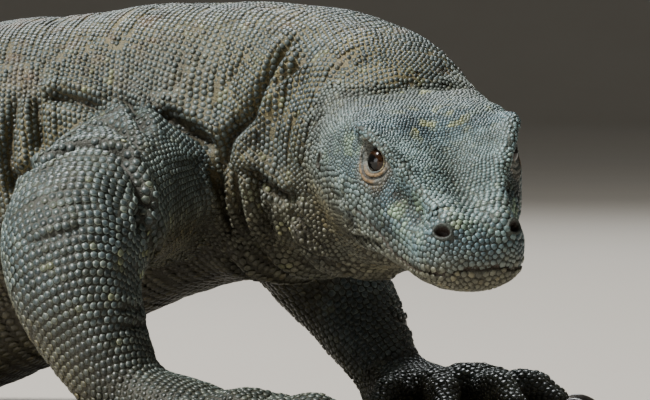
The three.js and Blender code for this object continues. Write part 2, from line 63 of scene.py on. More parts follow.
# Stations of the body's axis and limbs: x, y, z, half width, height above, depth below, squareness.
SPINE = (
    (191, -79, 166, 46, 44, 66, 2.2),  # skull base
    (166, -54, 180, 57, 63, 86, 2.2),  # nape
    (122, -27, 187, 64, 74, 87, 2.2),  # mid neck
    (62, -8, 185, 76, 86, 90, 2.2),  # neck base
    (0, 0, 175, 90, 95, 88, 2.25),  # shoulders
    (-75, -2, 161, 106, 100, 101, 2.3),  # fore ribs
    (-160, -14, 148, 118, 107, 131, 2.35),  # ribs
    (-265, -40, 142, 124, 110, 131, 2.4),  # belly
    (-375, -74, 146, 112, 102, 119, 2.35),  # loin
    (-470, -112, 153, 88, 88, 95, 2.3),  # flank
    (-545, -148, 156, 74, 77, 76, 2.2),  # hips
    (-610, -184, 150, 60, 67, 64, 2.15),  # vent
    (-700, -236, 134, 47, 58, 56, 2.1),  # tail root
    (-820, -296, 108, 38, 52, 48, 2.1),  # tail thick
    (-960, -336, 80, 30, 44, 40, 2.1),  # tail fore
    (-1110, -334, 54, 23, 36, 32, 2.1),  # tail mid
    (-1260, -296, 32, 17, 27, 24.5, 2.1),  # tail lower
    (-1410, -236, 17, 12, 19, 17.8, 2.1),  # tail rest
    (-1560, -182, 11, 8.5, 13, 11.8, 2.1),  # tail aft
    (-1700, -152, 7.0, 6, 9, 7.8, 2.0),  # tail thin
    (-1830, -146, 3.9, 3, 4.6, 4.7, 2.0),  # tail tip
)

ARM_R = (
    (0, -40, 156, 50, 52, 54, 2.1),  # socket
    (4, -92, 150, 47, 50, 53, 2.15),  # deltoid
    (6, -138, 140, 45, 48, 49, 2.2),  # biceps
    (11, -170, 119, 44, 45, 46, 2.2),  # elbow
    (19, -182, 92, 39, 40, 40, 2.2),  # forearm
    (31, -184, 66, 33, 34, 33, 2.2),  # shin
    (43, -184, 46, 29, 29, 28, 2.2),  # wrist
    (53, -184, 30, 26, 26, 24, 2.2),  # palm
)

ARM_L = (
    (-4, 40, 168, 46, 50, 50, 2.1),  # socket
    (0, 96, 150, 46, 50, 48, 2.1),  # deltoid
    (3, 138, 122, 42, 45, 44, 2.1),  # biceps
    (13, 160, 93, 38, 39, 39, 2.1),  # elbow
    (30, 162, 69, 33, 33, 33, 2.1),  # forearm
    (47, 155, 48, 28, 28, 28, 2.1),  # shin
    (61, 150, 32, 24, 24, 22, 2.1),  # wrist
    (72, 150, 22, 22, 20, 18, 2.1),  # palm
)

LEG_R = (
    (-530, -170, 144, 52, 56, 52, 2.1),  # hip in
    (-505, -222, 132, 52, 58, 52, 2.1),  # thigh
    (-470, -270, 118, 44, 48, 44, 2.1),  # thigh low
    (-440, -300, 98, 38, 38, 38, 2.1),  # knee
    (-452, -310, 72, 34, 38, 34, 2.1),  # calf
    (-470, -312, 48, 26, 28, 26, 2.1),  # shank
    (-484, -312, 30, 22, 24, 20, 2.1),  # ankle
    (-480, -312, 18, 19, 22, 16, 2.1),  # heel
)

LEG_L = (
    (-575, -120, 144, 52, 56, 52, 2.1),  # hip in
    (-610, -66, 130, 50, 56, 50, 2.1),  # thigh
    (-640, -22, 112, 42, 46, 42, 2.1),  # thigh low
    (-662, 8, 90, 36, 36, 36, 2.1),  # knee
    (-700, 16, 68, 33, 36, 33, 2.1),  # calf
    (-732, 20, 48, 25, 27, 25, 2.1),  # shank
    (-756, 22, 32, 21, 23, 19, 2.1),  # ankle
    (-750, 22, 20, 18, 21, 16, 2.1),  # heel
)

HEAD = (
    # s, then crown z, and y, z of crown edge, brow, under brow, cheek, lip, jaw, jaw foot, then throat z
    (0, 9, 3, 9, 5, 8, 7, 6, 7, 4, 7, 1.2, 6, -4.5, 4, -8, -9),
    (3, 15, 8, 15, 14, 13, 17, 10, 18, 5.5, 17, -2, 15, -8.5, 9, -12.5, -14),
    (9, 21.5, 12, 21.5, 19, 19, 24, 14, 25.5, 6, 25, -4.5, 21.5, -11.5, 13, -15.5, -17.5),
    (18, 26, 13, 26, 21, 23.5, 28, 16.5, 30.5, 7, 30, -6.5, 25.5, -14, 16, -18.5, -20.5),
    (30, 28, 12, 28.5, 21.5, 26.5, 25.5, 17, 31, 6.5, 32, -9.5, 27, -17, 18, -21.5, -23),
    (45, 30, 13, 31, 23.5, 30, 26, 19, 32, 6, 34, -12, 29, -19.5, 20, -24, -25.5),
    (62, 34.5, 15, 36, 28, 36.5, 31.5, 24, 37, 9, 38, -10, 33.5, -19.5, 23, -26, -28),
    (78, 39.5, 18, 42, 36.5, 44.5, 37, 30, 43, 15.5, 43, -4, 38.5, -18.5, 26, -28, -30.5),
    (92, 43.5, 21, 46, 42.5, 49, 41.5, 33, 48.5, 19, 48, 0.5, 43, -18, 29, -30, -33),
    (106, 46, 24, 48, 46, 48.5, 45.5, 34, 52, 20, 51.5, 1.5, 46, -18, 32, -32, -35.5),
    (122, 48, 25, 49, 44, 46.5, 49, 34, 54.5, 19, 54, 0.5, 49, -19, 35, -34.5, -38),
    (140, 48, 26, 48, 43, 45, 50.5, 33, 57, 17, 57, -2, 52, -21, 37, -38, -42),
    (160, 47, 27, 46.5, 43, 43, 52, 31, 58, 14, 58, -6, 53, -24, 39, -42, -46),
    (182, 46, 27, 45, 43, 41, 52, 28, 57, 10, 57, -10, 52, -28, 39, -46, -50),
    (205, 46, 27, 45, 43, 40, 51, 26, 55, 6, 55, -14, 51, -32, 39, -50, -54),
)

DIGIT = (
    (-0.1, 1.75, 1.1, 0.9, 1.5),
    (0.15, 2.05, 1.12, 1.05, 1.6),
    (0.4, 2.34, 1.28, 1.4, 1.38),
    (0.55, 2.02, 1.06, 1.12, 1.15),
    (0.71, 2.22, 1.18, 1.32, 1.15),
    (0.86, 1.52, 1.0, 1.02, 1.08),
    (0.95, 1.14, 0.98, 0.92, 1.22),
    (1.0, 1.04, 0.74, 0.72, 0.88),
)

HAND = (
    (46, 17, 76, 9.2),
    (20, 12, 106, 9.8),
    (2, 3, 120, 10.4),
    (-15, -8, 112, 10.2),
    (-46, -18, 78, 9.2),
)

FOOT = (
    (42, 16, 72, 8.6),
    (20, 12, 104, 9.2),
    (3, 3, 126, 9.6),
    (-13, -8, 138, 9.6),
    (-58, -20, 92, 8.8),
)
# Paws: wrist on the floor, heading in degrees, side, digits (splay, root offset, length, radius), palm length, half width, height factor.
PAWS = {
    "hand_right": ((56, -184), 2, -1, HAND, 62, 31, 1.14),
    "hand_left": ((72, 150), -32, 1, HAND, 62, 30, 0.88),
    "foot_right": ((-478, -312), -10, -1, FOOT, 66, 31, 0.95),
    "foot_left": ((-748, 22), 12, 1, FOOT, 66, 31, 0.95),
}
# Head: origin under the occiput on the mouth line, and its forward and left directions.
HEAD_O = np.array([177.409, -63.532, 175.601]) + CENTRE
HEAD_F = np.array([0.62198, -0.69419, -0.36226])
HEAD_T = np.array([0.76045, 0.64582, 0.06808])
HEAD_U = np.cross(HEAD_F, HEAD_T)

# ---------------------------------------------------------------- curves and tubes
def unit(v):
    v = np.asarray(v, float)
    return v / np.maximum(np.linalg.norm(v, axis=-1, keepdims=True), 1e-12)

def smooth(a, b, x):
    t = np.clip((x - a) / (b - a), 0, 1)
    return t * t * (3 - 2 * t)

def hermite(ts, vs, t):
    ts = np.asarray(ts, float)
    vs = np.asarray(vs, float)
    n = len(ts)
    m = np.zeros_like(vs)
    m[0] = (vs[1] - vs[0]) / (ts[1] - ts[0])
    m[-1] = (vs[-1] - vs[-2]) / (ts[-1] - ts[-2])
    for i in range(1, n - 1):
        h0, h1 = ts[i] - ts[i - 1], ts[i + 1] - ts[i]
        m[i] = ((vs[i + 1] - vs[i]) / h1 * h0 + (vs[i] - vs[i - 1]) / h0 * h1) / (h0 + h1)
    t = np.clip(np.asarray(t, float), ts[0], ts[-1])
    k = np.clip(np.searchsorted(ts, t, side="right") - 1, 0, n - 2)
    h = (ts[k + 1] - ts[k])[:, None]
    u = (t - ts[k])[:, None] / h
    return ((2 * u**3 - 3 * u**2 + 1) * vs[k] + (u**3 - 2 * u**2 + u) * h * m[k]
            + (3 * u**2 - 2 * u**3) * vs[k + 1] + (u**3 - u**2) * h * m[k + 1])

class Tube:
    def __init__(self, stations, up):
        self.st = np.array(stations, float)
        self.st[:, :3] += CENTRE
        self.t = np.concatenate([[0], np.cumsum(np.linalg.norm(np.diff(self.st[:, :3], axis=0), axis=1))])
        self.up = np.asarray(up, float)
        self.L = self.t[-1]
    def at(self, t):
        t = np.atleast_1d(np.asarray(t, float))
        v = hermite(self.t, self.st, t)
        a = hermite(self.t, self.st[:, :3], np.clip(t - 0.5, 0, self.L))
        b = hermite(self.t, self.st[:, :3], np.clip(t + 0.5, 0, self.L))
        T = unit(b - a)
        U = unit(self.up - (T @ self.up)[:, None] * T)
        return v, T, U, np.cross(U, T)
    def ring(self, t, th):
        v, T, U, S = self.at(t)
        c, s, k = np.cos(th), np.sin(th), v[:, 6]
        cc = np.sign(c) * np.abs(c)**(2 / k)
        ss = np.sign(s) * np.abs(s)**(2 / k)
        r = np.where(s >= 0, v[:, 4], v[:, 5])
        return v[:, :3] + S * (v[:, 3] * cc)[:, None] + U * (r * ss)[:, None]
    def mesh(self, ts, na):
        ts = np.asarray(ts, float)
        th = np.arange(na) * 2 * math.pi / na
        TT, HH = np.meshgrid(ts, th, indexing="ij")
        P = self.ring(TT.ravel(), HH.ravel())
        ends = self.at([ts[0], ts[-1]])[0][:, :3]
        return np.concatenate([P, ends]), grid_faces(len(ts), na, flip=True)

def grid_faces(nt, na, flip=False):
    F = []
    for i in range(nt - 1):
        for j in range(na):
            a, b = i * na + j, i * na + (j + 1) % na
            c, d = b + na, a + na
            F.append((a, d, c, b) if flip else (a, b, c, d))
    i0, i1 = nt * na, nt * na + 1
    for j in range(na):
        k = (j + 1) % na
        e = (nt - 1) * na
        F += [(i0, j, k), (i1, e + k, e + j)] if flip else [(i0, k, j), (i1, e + j, e + k)]
    return F

spine = Tube(SPINE, (0, 0, 1))
arm_r = Tube(ARM_R, (1, 0, 0.15))
arm_l = Tube(ARM_L, (1, 0, 0.3))
leg_r = Tube(LEG_R, (0, -1, 0.4))
leg_l = Tube(LEG_L, (0, 1, 0.4))

# ---------------------------------------------------------------- head
HEAD = np.array(HEAD, float)
def head_ring(s, q):
    v = hermite(HEAD[:, 0], HEAD[:, 1:], s)
    zero = np.zeros(len(v))
    y = np.stack([zero, v[:, 1], v[:, 3], v[:, 5], v[:, 7], v[:, 9], v[:, 11], v[:, 13], zero], 1)
    z = np.stack([v[:, 0], v[:, 2], v[:, 4], v[:, 6], v[:, 8], v[:, 10], v[:, 12], v[:, 14], v[:, 15]], 1)
    i = np.clip(np.floor(q).astype(int), 0, 7)
    u = q - i
    n = np.arange(len(s))
    out = []
    for a, sign in ((y, -1), (z, 1)):
        e = np.concatenate([sign * a[:, 1:2], a, sign * a[:, 7:8]], 1)
        p0, p1, p2, p3 = e[n, i], e[n, i + 1], e[n, i + 2], e[n, i + 3]
        out.append(0.5 * (2 * p1 + (p2 - p0) * u + (2 * p0 - 5 * p1 + 4 * p2 - p3) * u * u + (-p0 + 3 * p1 - 3 * p2 + p3) * u**3))
    return out
def head_local(s, phi):
    """phi 0 crown, 8 throat down the left side, and 16 the crown again up the right side."""
    s, phi = np.atleast_1d(np.asarray(s, float)), np.mod(np.atleast_1d(np.asarray(phi, float)), 16)
    left = phi <= 8
    y, z = head_ring(s, np.where(left, phi, 16 - phi))
    return np.stack([HEAD_LENGTH - s, np.where(left, y, -y), z], 1)
def to_world(L):
    return HEAD_O + L[:, 0:1] * HEAD_F + L[:, 1:2] * HEAD_T + L[:, 2:3] * HEAD_U
def to_head(P):
    d = P - HEAD_O
    return np.stack([d @ HEAD_F, d @ HEAD_T, d @ HEAD_U], -1)
def head_mesh(sl, nphi):
    SS, PP = np.meshgrid(sl, np.arange(nphi) * 16 / nphi, indexing="ij")
    L = np.concatenate([head_local(SS.ravel(), PP.ravel()), [[HEAD_LENGTH + 1.0, 0, 2.0], [HEAD_LENGTH - sl[-1], 0, 0]]])
    return to_world(L), grid_faces(len(sl), nphi)

# ---------------------------------------------------------------- paws
PALM_ROWS = ((-0.40, 23, 0.62, 16, 23.8), (-0.05, 24, 0.84, 20, 24.8), (0.35, 22, 1.0, 18.5, 22.8), (0.75, 19.5, 1.02, 15.5, 20.3), (1.05, 16, 0.80, 13, 16.8))
CLAW_ROWS = ((0, 1.06, 0.60, 0.56), (0.22, 1.18, 0.58, 0.52), (0.45, 1.14, 0.50, 0.44), (0.70, 0.88, 0.36, 0.30), (0.90, 0.46, 0.19, 0.17), (1.0, 0.24, 0.08, 0.08))
def paw(wrist, heading, side, digits, pl, pw, ph):
    h = math.radians(heading)
    H = np.array([math.cos(h), math.sin(h), 0])
    S = np.array([-math.sin(h), math.cos(h), 0]) * -side
    W = np.array([wrist[0], wrist[1], 0.0])
    rows = [(*(W + H * pl * q)[:2], z * ph, pw * w, u * ph, z * ph + 0.8, 2.3) for q, z, w, u, d in PALM_ROWS]
    tubes, claws = [Tube(rows, (0, 0, 1))], []
    for splay, off, length, r in digits:
        a = math.radians(splay)
        d0 = H * math.cos(a) + S * math.sin(a)
        side0 = S * math.cos(a) - H * math.sin(a)
        root = W + H * pl * 0.55 + S * off
        rows = []
        for q, z, w, u, dn in DIGIT:
            bend = 0.05 * length * math.sin(math.pi * max(q, 0)) * (1 if off < 0 else -1)
            rows.append((*(root + d0 * length * q + side0 * bend)[:2], r * z, r * w, r * u, r * dn, 2.1))
        tubes.append(Tube(rows, (0, 0, 1)))
        tip = root + d0 * length
        claws.append(Tube([(*(tip + d0 * (0.3 + r * 2.7 * q))[:2], r * z, r * c * 0.74, r * c * 0.99, r * c2 * 1.0, 2.0) for q, z, c, c2 in CLAW_ROWS], (0, 0, 1)))
    return tubes, claws
paws = {name: paw(*spec) for name, spec in PAWS.items()}

REGIONS = [("spine", spine), ("arm_r", arm_r), ("arm_l", arm_l), ("leg_r", leg_r), ("leg_l", leg_l)]
for name, (tubes, claws) in paws.items():
    REGIONS += [(name + ("_palm" if i == 0 else "_toe%d" % i), t) for i, t in enumerate(tubes)]
HEAD_ID = len(REGIONS)
RID = {n: i for i, (n, t) in enumerate(REGIONS)}
RID["head"] = HEAD_ID

# ---------------------------------------------------------------- noise
def noise3(P, scale, seed=0):
    """smooth value noise, -1 to 1, of points in mm with cells of that many mm"""
    q = np.asarray(P, float) / scale + 1000.37 + seed * 17.31
    i = np.floor(q).astype(np.int64)
    f = q - i
    f = f * f * f * (f * (f * 6 - 15) + 10)
    out = 0
    for dx in (0, 1):
        wx = f[:, 0] if dx else 1 - f[:, 0]
        for dy in (0, 1):
            wy = f[:, 1] if dy else 1 - f[:, 1]
            for dz in (0, 1):
                wz = f[:, 2] if dz else 1 - f[:, 2]
                h = ((i[:, 0] + dx) * 73856093) ^ ((i[:, 1] + dy) * 19349663) ^ ((i[:, 2] + dz) * 83492791) ^ (seed * 2654435761)
                h = (h & 0xFFFFFFFF)
                h = ((h ^ (h >> 15)) * 2246822519) & 0xFFFFFFFF
                h = ((h ^ (h >> 13)) * 3266489917) & 0xFFFFFFFF
                h = h ^ (h >> 16)
                out = out + wx * wy * wz * (h / 4294967295.0)
    return out * 2 - 1
def fractal(P, scale, seed=0, octaves=3):
    return sum(noise3(P, scale / 2**k, seed + k) * 0.5**k for k in range(octaves)) / 1.6

# ---------------------------------------------------------------- mesh tools
def new_object(name, V, F, mm=True):
    me = bpy.data.meshes.new(name)
    me.from_pydata((np.asarray(V) * (0.001 if mm else 1)).tolist(), [], [tuple(map(int, f)) for f in F])
    me.update()
    o = bpy.data.objects.new(name, me)
    bpy.context.scene.collection.objects.link(o)
    return o

def fast_mesh(name, V, tris, smooth_shading=True):
    """an object of triangles from arrays, V in mm"""
    me = bpy.data.meshes.new(name)
    me.vertices.add(len(V))
    me.vertices.foreach_set("co", (V * 0.001).astype(np.float32).ravel())
    me.loops.add(tris.size)
    me.polygons.add(len(tris))
    me.polygons.foreach_set("loop_start", np.arange(0, tris.size, 3, dtype=np.int32))
    me.loops.foreach_set("vertex_index", tris.astype(np.int32).ravel())
    if smooth_shading:
        me.polygons.foreach_set("use_smooth", np.ones(len(tris), bool))
    me.update(calc_edges=True)
    me.validate()
    o = bpy.data.objects.new(name, me)
    bpy.context.scene.collection.objects.link(o)
    return o

def put(me, name, values):
    a = me.attributes.new(name, "FLOAT", "POINT")
    a.data.foreach_set("value", np.asarray(values, np.float32))

def applied(o):
    me = bpy.data.meshes.new_from_object(o.evaluated_get(bpy.context.evaluated_depsgraph_get()))
    old = o.data
    o.modifiers.clear()
    o.data = me
    bpy.data.meshes.remove(old)

def arrays(me):
    V = np.empty(len(me.vertices) * 3, np.float32)
    me.vertices.foreach_get("co", V)
    me.calc_loop_triangles()
    T = np.empty(len(me.loop_triangles) * 3, np.int32)
    me.loop_triangles.foreach_get("vertices", T)
    return V.reshape(-1, 3).astype(float) * 1000, T.reshape(-1, 3)

def normals(V, T):
    a, b, c = V[T[:, 0]], V[T[:, 1]], V[T[:, 2]]
    n = np.cross(b - a, c - a)
    out = np.zeros_like(V)
    for k in range(3):
        for j in range(3):
            out[:, j] += np.bincount(T[:, k], n[:, j], len(V))
    return unit(out)

def relax(V, E, steps, weight, lam=0.5, mu=-0.52):
    """Taubin smoothing along the edges E, by a weight for each vertex"""
    deg = np.maximum(np.bincount(E.ravel(), minlength=len(V)), 1)[:, None]
    for i in range(steps):
        for f in (lam, mu):
            s = np.stack([np.bincount(E[:, 0], V[E[:, 1], j], len(V)) + np.bincount(E[:, 1], V[E[:, 0], j], len(V)) for j in range(3)], 1)
            V = V + f * weight[:, None] * (s / deg - V)
    return V

def tree(P):
    kd = KDTree(len(P))
    for i, p in enumerate(P):
        kd.insert(p, i)
    kd.balance()
    return kd

# ---------------------------------------------------------------- the smooth body under the folds
TAIL_JOIN = float(spine.t[15])
def joined(parts):
    V, F, n = [], [], 0
    for v, f in parts:
        V.append(v)
        F += [tuple(i + n for i in g) for g in f]
        n += len(v)
    return np.concatenate(V), F

parts = [spine.mesh(np.arange(0, TAIL_JOIN + 16, 6.0), 60),
         head_mesh(np.concatenate([[0, 1.2, 3, 6], np.arange(10, 206, 4.0)]), 80)]
for limb in (arm_r, arm_l, leg_r, leg_l):
    parts.append(limb.mesh(np.linspace(0, limb.L, 50), 40))
for name, (tubes, claws) in paws.items():
    for i, tube in enumerate(tubes):
        parts.append(tube.mesh(np.linspace(0, tube.L, 30 if i else 26), 36 if i == 0 else 24))
skin = new_object("skin", *joined(parts))
m = skin.modifiers.new("remesh", "REMESH")
m.mode, m.voxel_size = "VOXEL", 0.0047
applied(skin)

# samples of every tube, to tell which part a point belongs to and where on it
SAMPLES = []
def sample(rid, ring, ts, ths):
    TT, HH = [a.ravel() for a in np.meshgrid(ts, ths, indexing="ij")]
    SAMPLES.append((np.full(len(TT), rid), TT, HH, ring(TT, HH)))
for i, (name, tube) in enumerate(REGIONS):
    step, turn = (5.0, 72) if i == 0 else (4.0, 36) if i < 5 else (3.5, 20)
    sample(i, tube.ring, np.linspace(0, tube.L, int(tube.L / step) + 2), np.arange(turn) * 2 * math.pi / turn)
sample(HEAD_ID, lambda s, p: to_world(head_local(s, p)), np.arange(0, 205, 2.5), np.arange(80) * 0.2)
S_RID, S_T, S_TH, S_P = [np.concatenate(a) for a in zip(*SAMPLES)]
S_TREE = tree(S_P)
def classify(P):
    k = np.array([S_TREE.find(p)[1] for p in P])
    return S_RID[k], S_T[k], S_TH[k]

V, T = arrays(skin.data)
E = np.empty(len(skin.data.edges) * 2, np.int32)
skin.data.edges.foreach_get("vertices", E)
E = E.reshape(-1, 2)
rid, tt, th = classify(V)
weight = np.where(rid == 0, 1.0, np.where(rid < 5, 0.9, np.where(rid == HEAD_ID, 0.35, 0.25)))
weight = np.where((rid == HEAD_ID) & (tt > 150), 0.8, weight)
weight = np.where((rid == 0) & (tt > 1250), np.maximum(0.02, 1 - (tt - 1250) / 100), weight)
V = relax(V, E, 14, weight)
skin.data.vertices.foreach_set("co", (V * 0.001).astype(np.float32).ravel())
skin.data.update()
tail = new_object("tail", *spine.mesh(np.append(np.arange(TAIL_JOIN, spine.L - 2, 5.0), spine.L), 28))
bm = bmesh.new()
bm.from_mesh(tail.data)
bmesh.ops.recalc_face_normals(bm, faces=bm.faces[:])
bm.to_mesh(tail.data)
bm.free()
m = skin.modifiers.new("tail", "BOOLEAN")
m.operation, m.object, m.solver = "UNION", tail, "MANIFOLD"
applied(skin)
bpy.data.objects.remove(tail)

# ---------------------------------------------------------------- folds
# Each fold: its line as (part, distance along, angle) points, depth, width, lift of its sides, and whether the other side has it too.
# Part s is the body's axis (angle 0 right, 90 top), r the right arm, q the right leg, h the head (distance behind the tip, turn 0..16).
FOLDS = [
    ((("s", 274, 21), ("s", 262, 23), ("s", 250, 21), ("s", 238, 18), ("s", 222, 13)), 5.0, 5.0, 3.6, True),
    ((("s", 214, 22), ("s", 206, 15), ("r", 54, 162), ("r", 66, 150), ("r", 78, 140)), 5.0, 5.0, 3.2, True),
    ((("r", 42, 160), ("s", 178, 8), ("s", 170, 5), ("s", 150, 0), ("s", 134, -6)), 7.5, 5.0, 4.2, True),
    ((("s", 84, 62), ("s", 92, 46), ("s", 94, 31), ("s", 100, 18), ("s", 108, 6), ("s", 126, -2), ("s", 132, -11), ("s", 138, -25), ("s", 144, -42)), 7.5, 5.5, 4.2, True),
    ((("s", 70, 44), ("s", 74, 34), ("s", 80, 27), ("s", 90, 16)), 3.0, 3.5, 1.8, True),
    ((("s", 290, 30), ("s", 292, 20), ("s", 296, 10), ("s", 298, -6)), 5.0, 5.0, 3.0, True),
    ((("s", 278, 26), ("s", 274, 14), ("s", 276, 4)), 4.4, 4.5, 2.6, True),
    ((("s", 312, 26), ("s", 316, 12), ("s", 314, -4), ("s", 318, -20)), 3.6, 5.0, 2.2, True),
    ((("r", 96, 196), ("r", 84, 190), ("r", 74, 176), ("r", 84, 150), ("r", 94, 122)), 4.6, 4.4, 2.8, True),
    ((("r", 98, 152), ("r", 108, 130), ("r", 118, 106), ("r", 134, 94), ("r", 150, 88)), 5.2, 5.0, 3.6, True),
    ((("r", 66, 198), ("r", 58, 184), ("r", 58, 168), ("r", 68, 148)), 3.6, 4.0, 2.4, True),
    ((("s", 312, -4), ("s", 300, -2), ("r", 112, 194), ("r", 104, 176), ("r", 102, 156), ("r", 104, 134), ("r", 106, 108)), 6.0, 5.0, 3.4, True),
    ((("s", 148, -8), ("s", 140, -20), ("s", 140, -32), ("s", 150, -46)), 6.5, 4.5, 3.6, True),
    ((("s", 122, -8), ("s", 122, -20), ("s", 126, -34), ("s", 134, -48)), 6.0, 4.5, 4.0, True),
    ((("s", 102, -12), ("s", 100, -24), ("s", 104, -38), ("s", 110, -50)), 5.5, 4.5, 3.4, True),
    ((("s", 84, -24), ("s", 90, -34), ("s", 94, -44)), 4.0, 4.0, 2.4, True),
    ((("s", 118, -40), ("s", 130, -50), ("s", 134, -66), ("s", 132, -90), ("s", 134, -114), ("s", 130, -130), ("s", 118, -140)), 5.5, 6.5, 3.2, False),
    ((("s", 118, -12), ("s", 94, -16), ("s", 78, -21), ("s", 60, -22), ("s", 42, -20)), 5.5, 4.5, 4.4, True),
    ((("s", 66, -26), ("s", 48, -33), ("s", 36, -41), ("s", 22, -48)), 4.4, 4.0, 3.0, True),
    ((("s", 76, -33), ("s", 64, -45), ("s", 46, -53), ("s", 34, -60), ("s", 28, -75)), 4.6, 4.5, 3.2, True),
    ((("h", 178, 13.2), ("h", 175, 14.2), ("s", 10, 70), ("s", 12, 90), ("s", 10, 110), ("h", 175, 1.8), ("h", 178, 2.8)), 2.0, 5.0, 1.0, False),
    ((("h", 176, 13.4), ("h", 177, 12.7), ("h", 173, 12.0), ("h", 163, 11.3), ("h", 152, 10.6)), 4.6, 5.0, 2.6, True),
    ((("s", 44, 34), ("s", 42, 50), ("s", 44, 70)), 1.6, 3.5, 0.8, True),
    ((("s", 30, 20), ("s", 34, 5), ("s", 30, -10)), 2.6, 4.0, 1.6, True),
    ((("s", 56, 14), ("s", 60, 2), ("s", 54, -12)), 3.0, 4.0, 1.8, True),
    ((("s", 120, 40), ("s", 124, 28), ("s", 134, 16)), 1.8, 3.5, 1.0, True),
    ((("s", 168, 40), ("s", 166, 26), ("s", 176, 14)), 1.6, 3.5, 1.0, True),
    ((("s", 56, -70), ("s", 60, -90), ("s", 56, -110)), 3.0, 5.0, 1.8, False),
    ((("s", 96, -56), ("s", 94, -70), ("s", 96, -90), ("s", 94, -110), ("s", 96, -124)), 4.4, 6.0, 2.6, False),
    ((("s", 160, -44), ("s", 164, -66), ("s", 160, -90), ("s", 164, -114), ("s", 160, -136)), 4.2, 6.0, 2.6, False),
    ((("s", 330, -20), ("s", 400, -28), ("s", 500, -31), ("s", 600, -28), ("s", 690, -22), ("s", 750, -14)), 3.4, 9.0, 2.4, True),
    ((("s", 744, 36), ("s", 750, 18), ("s", 742, -6)), 4.0, 5.5, 2.6, True),
    ((("s", 726, 24), ("s", 730, 8), ("s", 722, -10)), 2.6, 4.5, 1.6, True),
    ((("s", 832, 30), ("s", 840, 12), ("s", 834, -10)), 3.2, 5.5, 2.0, True),
    ((("s", 870, 24), ("s", 876, 2), ("s", 872, -24)), 2.2, 5.5, 1.4, True),
    ((("r", 122, 120), ("r", 118, 90), ("r", 120, 50), ("r", 124, 20)), 3.6, 4.0, 2.2, True),
    ((("r", 134, 110), ("r", 132, 80), ("r", 134, 50)), 2.2, 3.5, 1.4, True),
    ((("r", 150, 200), ("r", 152, 170), ("r", 148, 140)), 1.4, 3.5, 0.9, True),
    ((("r", 206, 130), ("r", 208, 95), ("r", 206, 60)), 2.0, 3.0, 1.3, True),
    ((("r", 194, 120), ("r", 196, 95), ("r", 195, 70)), 1.3, 2.8, 0.9, True),
    ((("q", 128, 20), ("q", 132, 60), ("q", 128, 100)), 3.2, 4.0, 2.0, True),
    ((("q", 150, 180), ("q", 146, 220), ("q", 150, 260)), 2.8, 4.0, 1.8, True),
    ((("q", 214, 100), ("q", 216, 60), ("q", 214, 20)), 1.8, 3.2, 1.1, True),
    ((("h", 106, 11.4), ("h", 118, 11.0), ("h", 130, 10.9), ("h", 142, 11.2)), 1.7, 3.4, 1.4, True),
    ((("h", 104, 10.6), ("h", 112, 10.2), ("h", 124, 9.9)), 1.8, 2.6, 1.0, True),
    ((("h", 70, 10.3), ("h", 90, 10.1), ("h", 112, 9.7), ("h", 136, 9.5)), 2.2, 3.0, 1.3, True),
    ((("h", 88, 9.3), ("h", 116, 9.0), ("h", 146, 8.8)), 2.2, 3.4, 1.3, True),
]
# Soft bumps and hollows: (part, distance, angle), radius, height, and whether the other side has it too.
BUMPS = [
    (("r", 50, 170), 15, 5.0, True), (("s", 240, 10), 20, 3.5, True), (("s", 104, -8), 11, 5.0, True), (("s", 140, -28), 12, 4.0, True),
    (("s", 100, -30), 12, 4.5, True), (("s", 152, -58), 18, 4.0, True), (("s", 60, -38), 16, 3.0, True), (("s", 56, 0), 16, 2.5, True),
    (("s", 28, -46), 14, 3.0, True), (("r", 66, 118), 16, 2.0, True), (("s", 190, 40), 26, 1.5, True),
    (("h", 137, 12.6), 22, 2.6, True), (("e", 92, 0, 47), 22, -4.6, False), (("e", 56, 0, 32), 15, -2.6, False), (("e", 16, -17, 25), 9, 4.2, True),
    (("e", 33, -12, 27), 9, 1.5, True), (("e", 26, 0, 24), 7, -1.8, False), (("s", 300, 90), 46, 3.6, False), (("s", 330, 60), 40, 2.0, True), (("e", 122, -20, 50), 18, 1.8, True), (("e", 72, -38, 14), 11, 2.0, True), (("e", 30, -27, 10), 10, 1.4, True),
    (("h", 108, 11.0), 12, 1.8, True), (("e", 150, 0, 52), 16, 1.2, False), (("e", 70, -16, 41), 11, 1.2, True),
]
for k, t in enumerate(range(338, 730, 34)):
    lean = 6 * math.sin(k * 2.1)
    FOLDS.append(((("s", t + lean, 34 + 6 * math.cos(k)), ("s", t + 4, 12), ("s", t - lean, -12), ("s", t + 2, -34)), 1.5, 6.5, 0.9, True))
for k, t in enumerate(range(350, 800, 42)):
    FOLDS.append(((("s", t + 3 * math.sin(k * 1.7), -48), ("s", t, -70), ("s", t + 3, -90), ("s", t, -110), ("s", t + 3 * math.sin(k), -132)), 0.9, 7.0, 0.5, False))

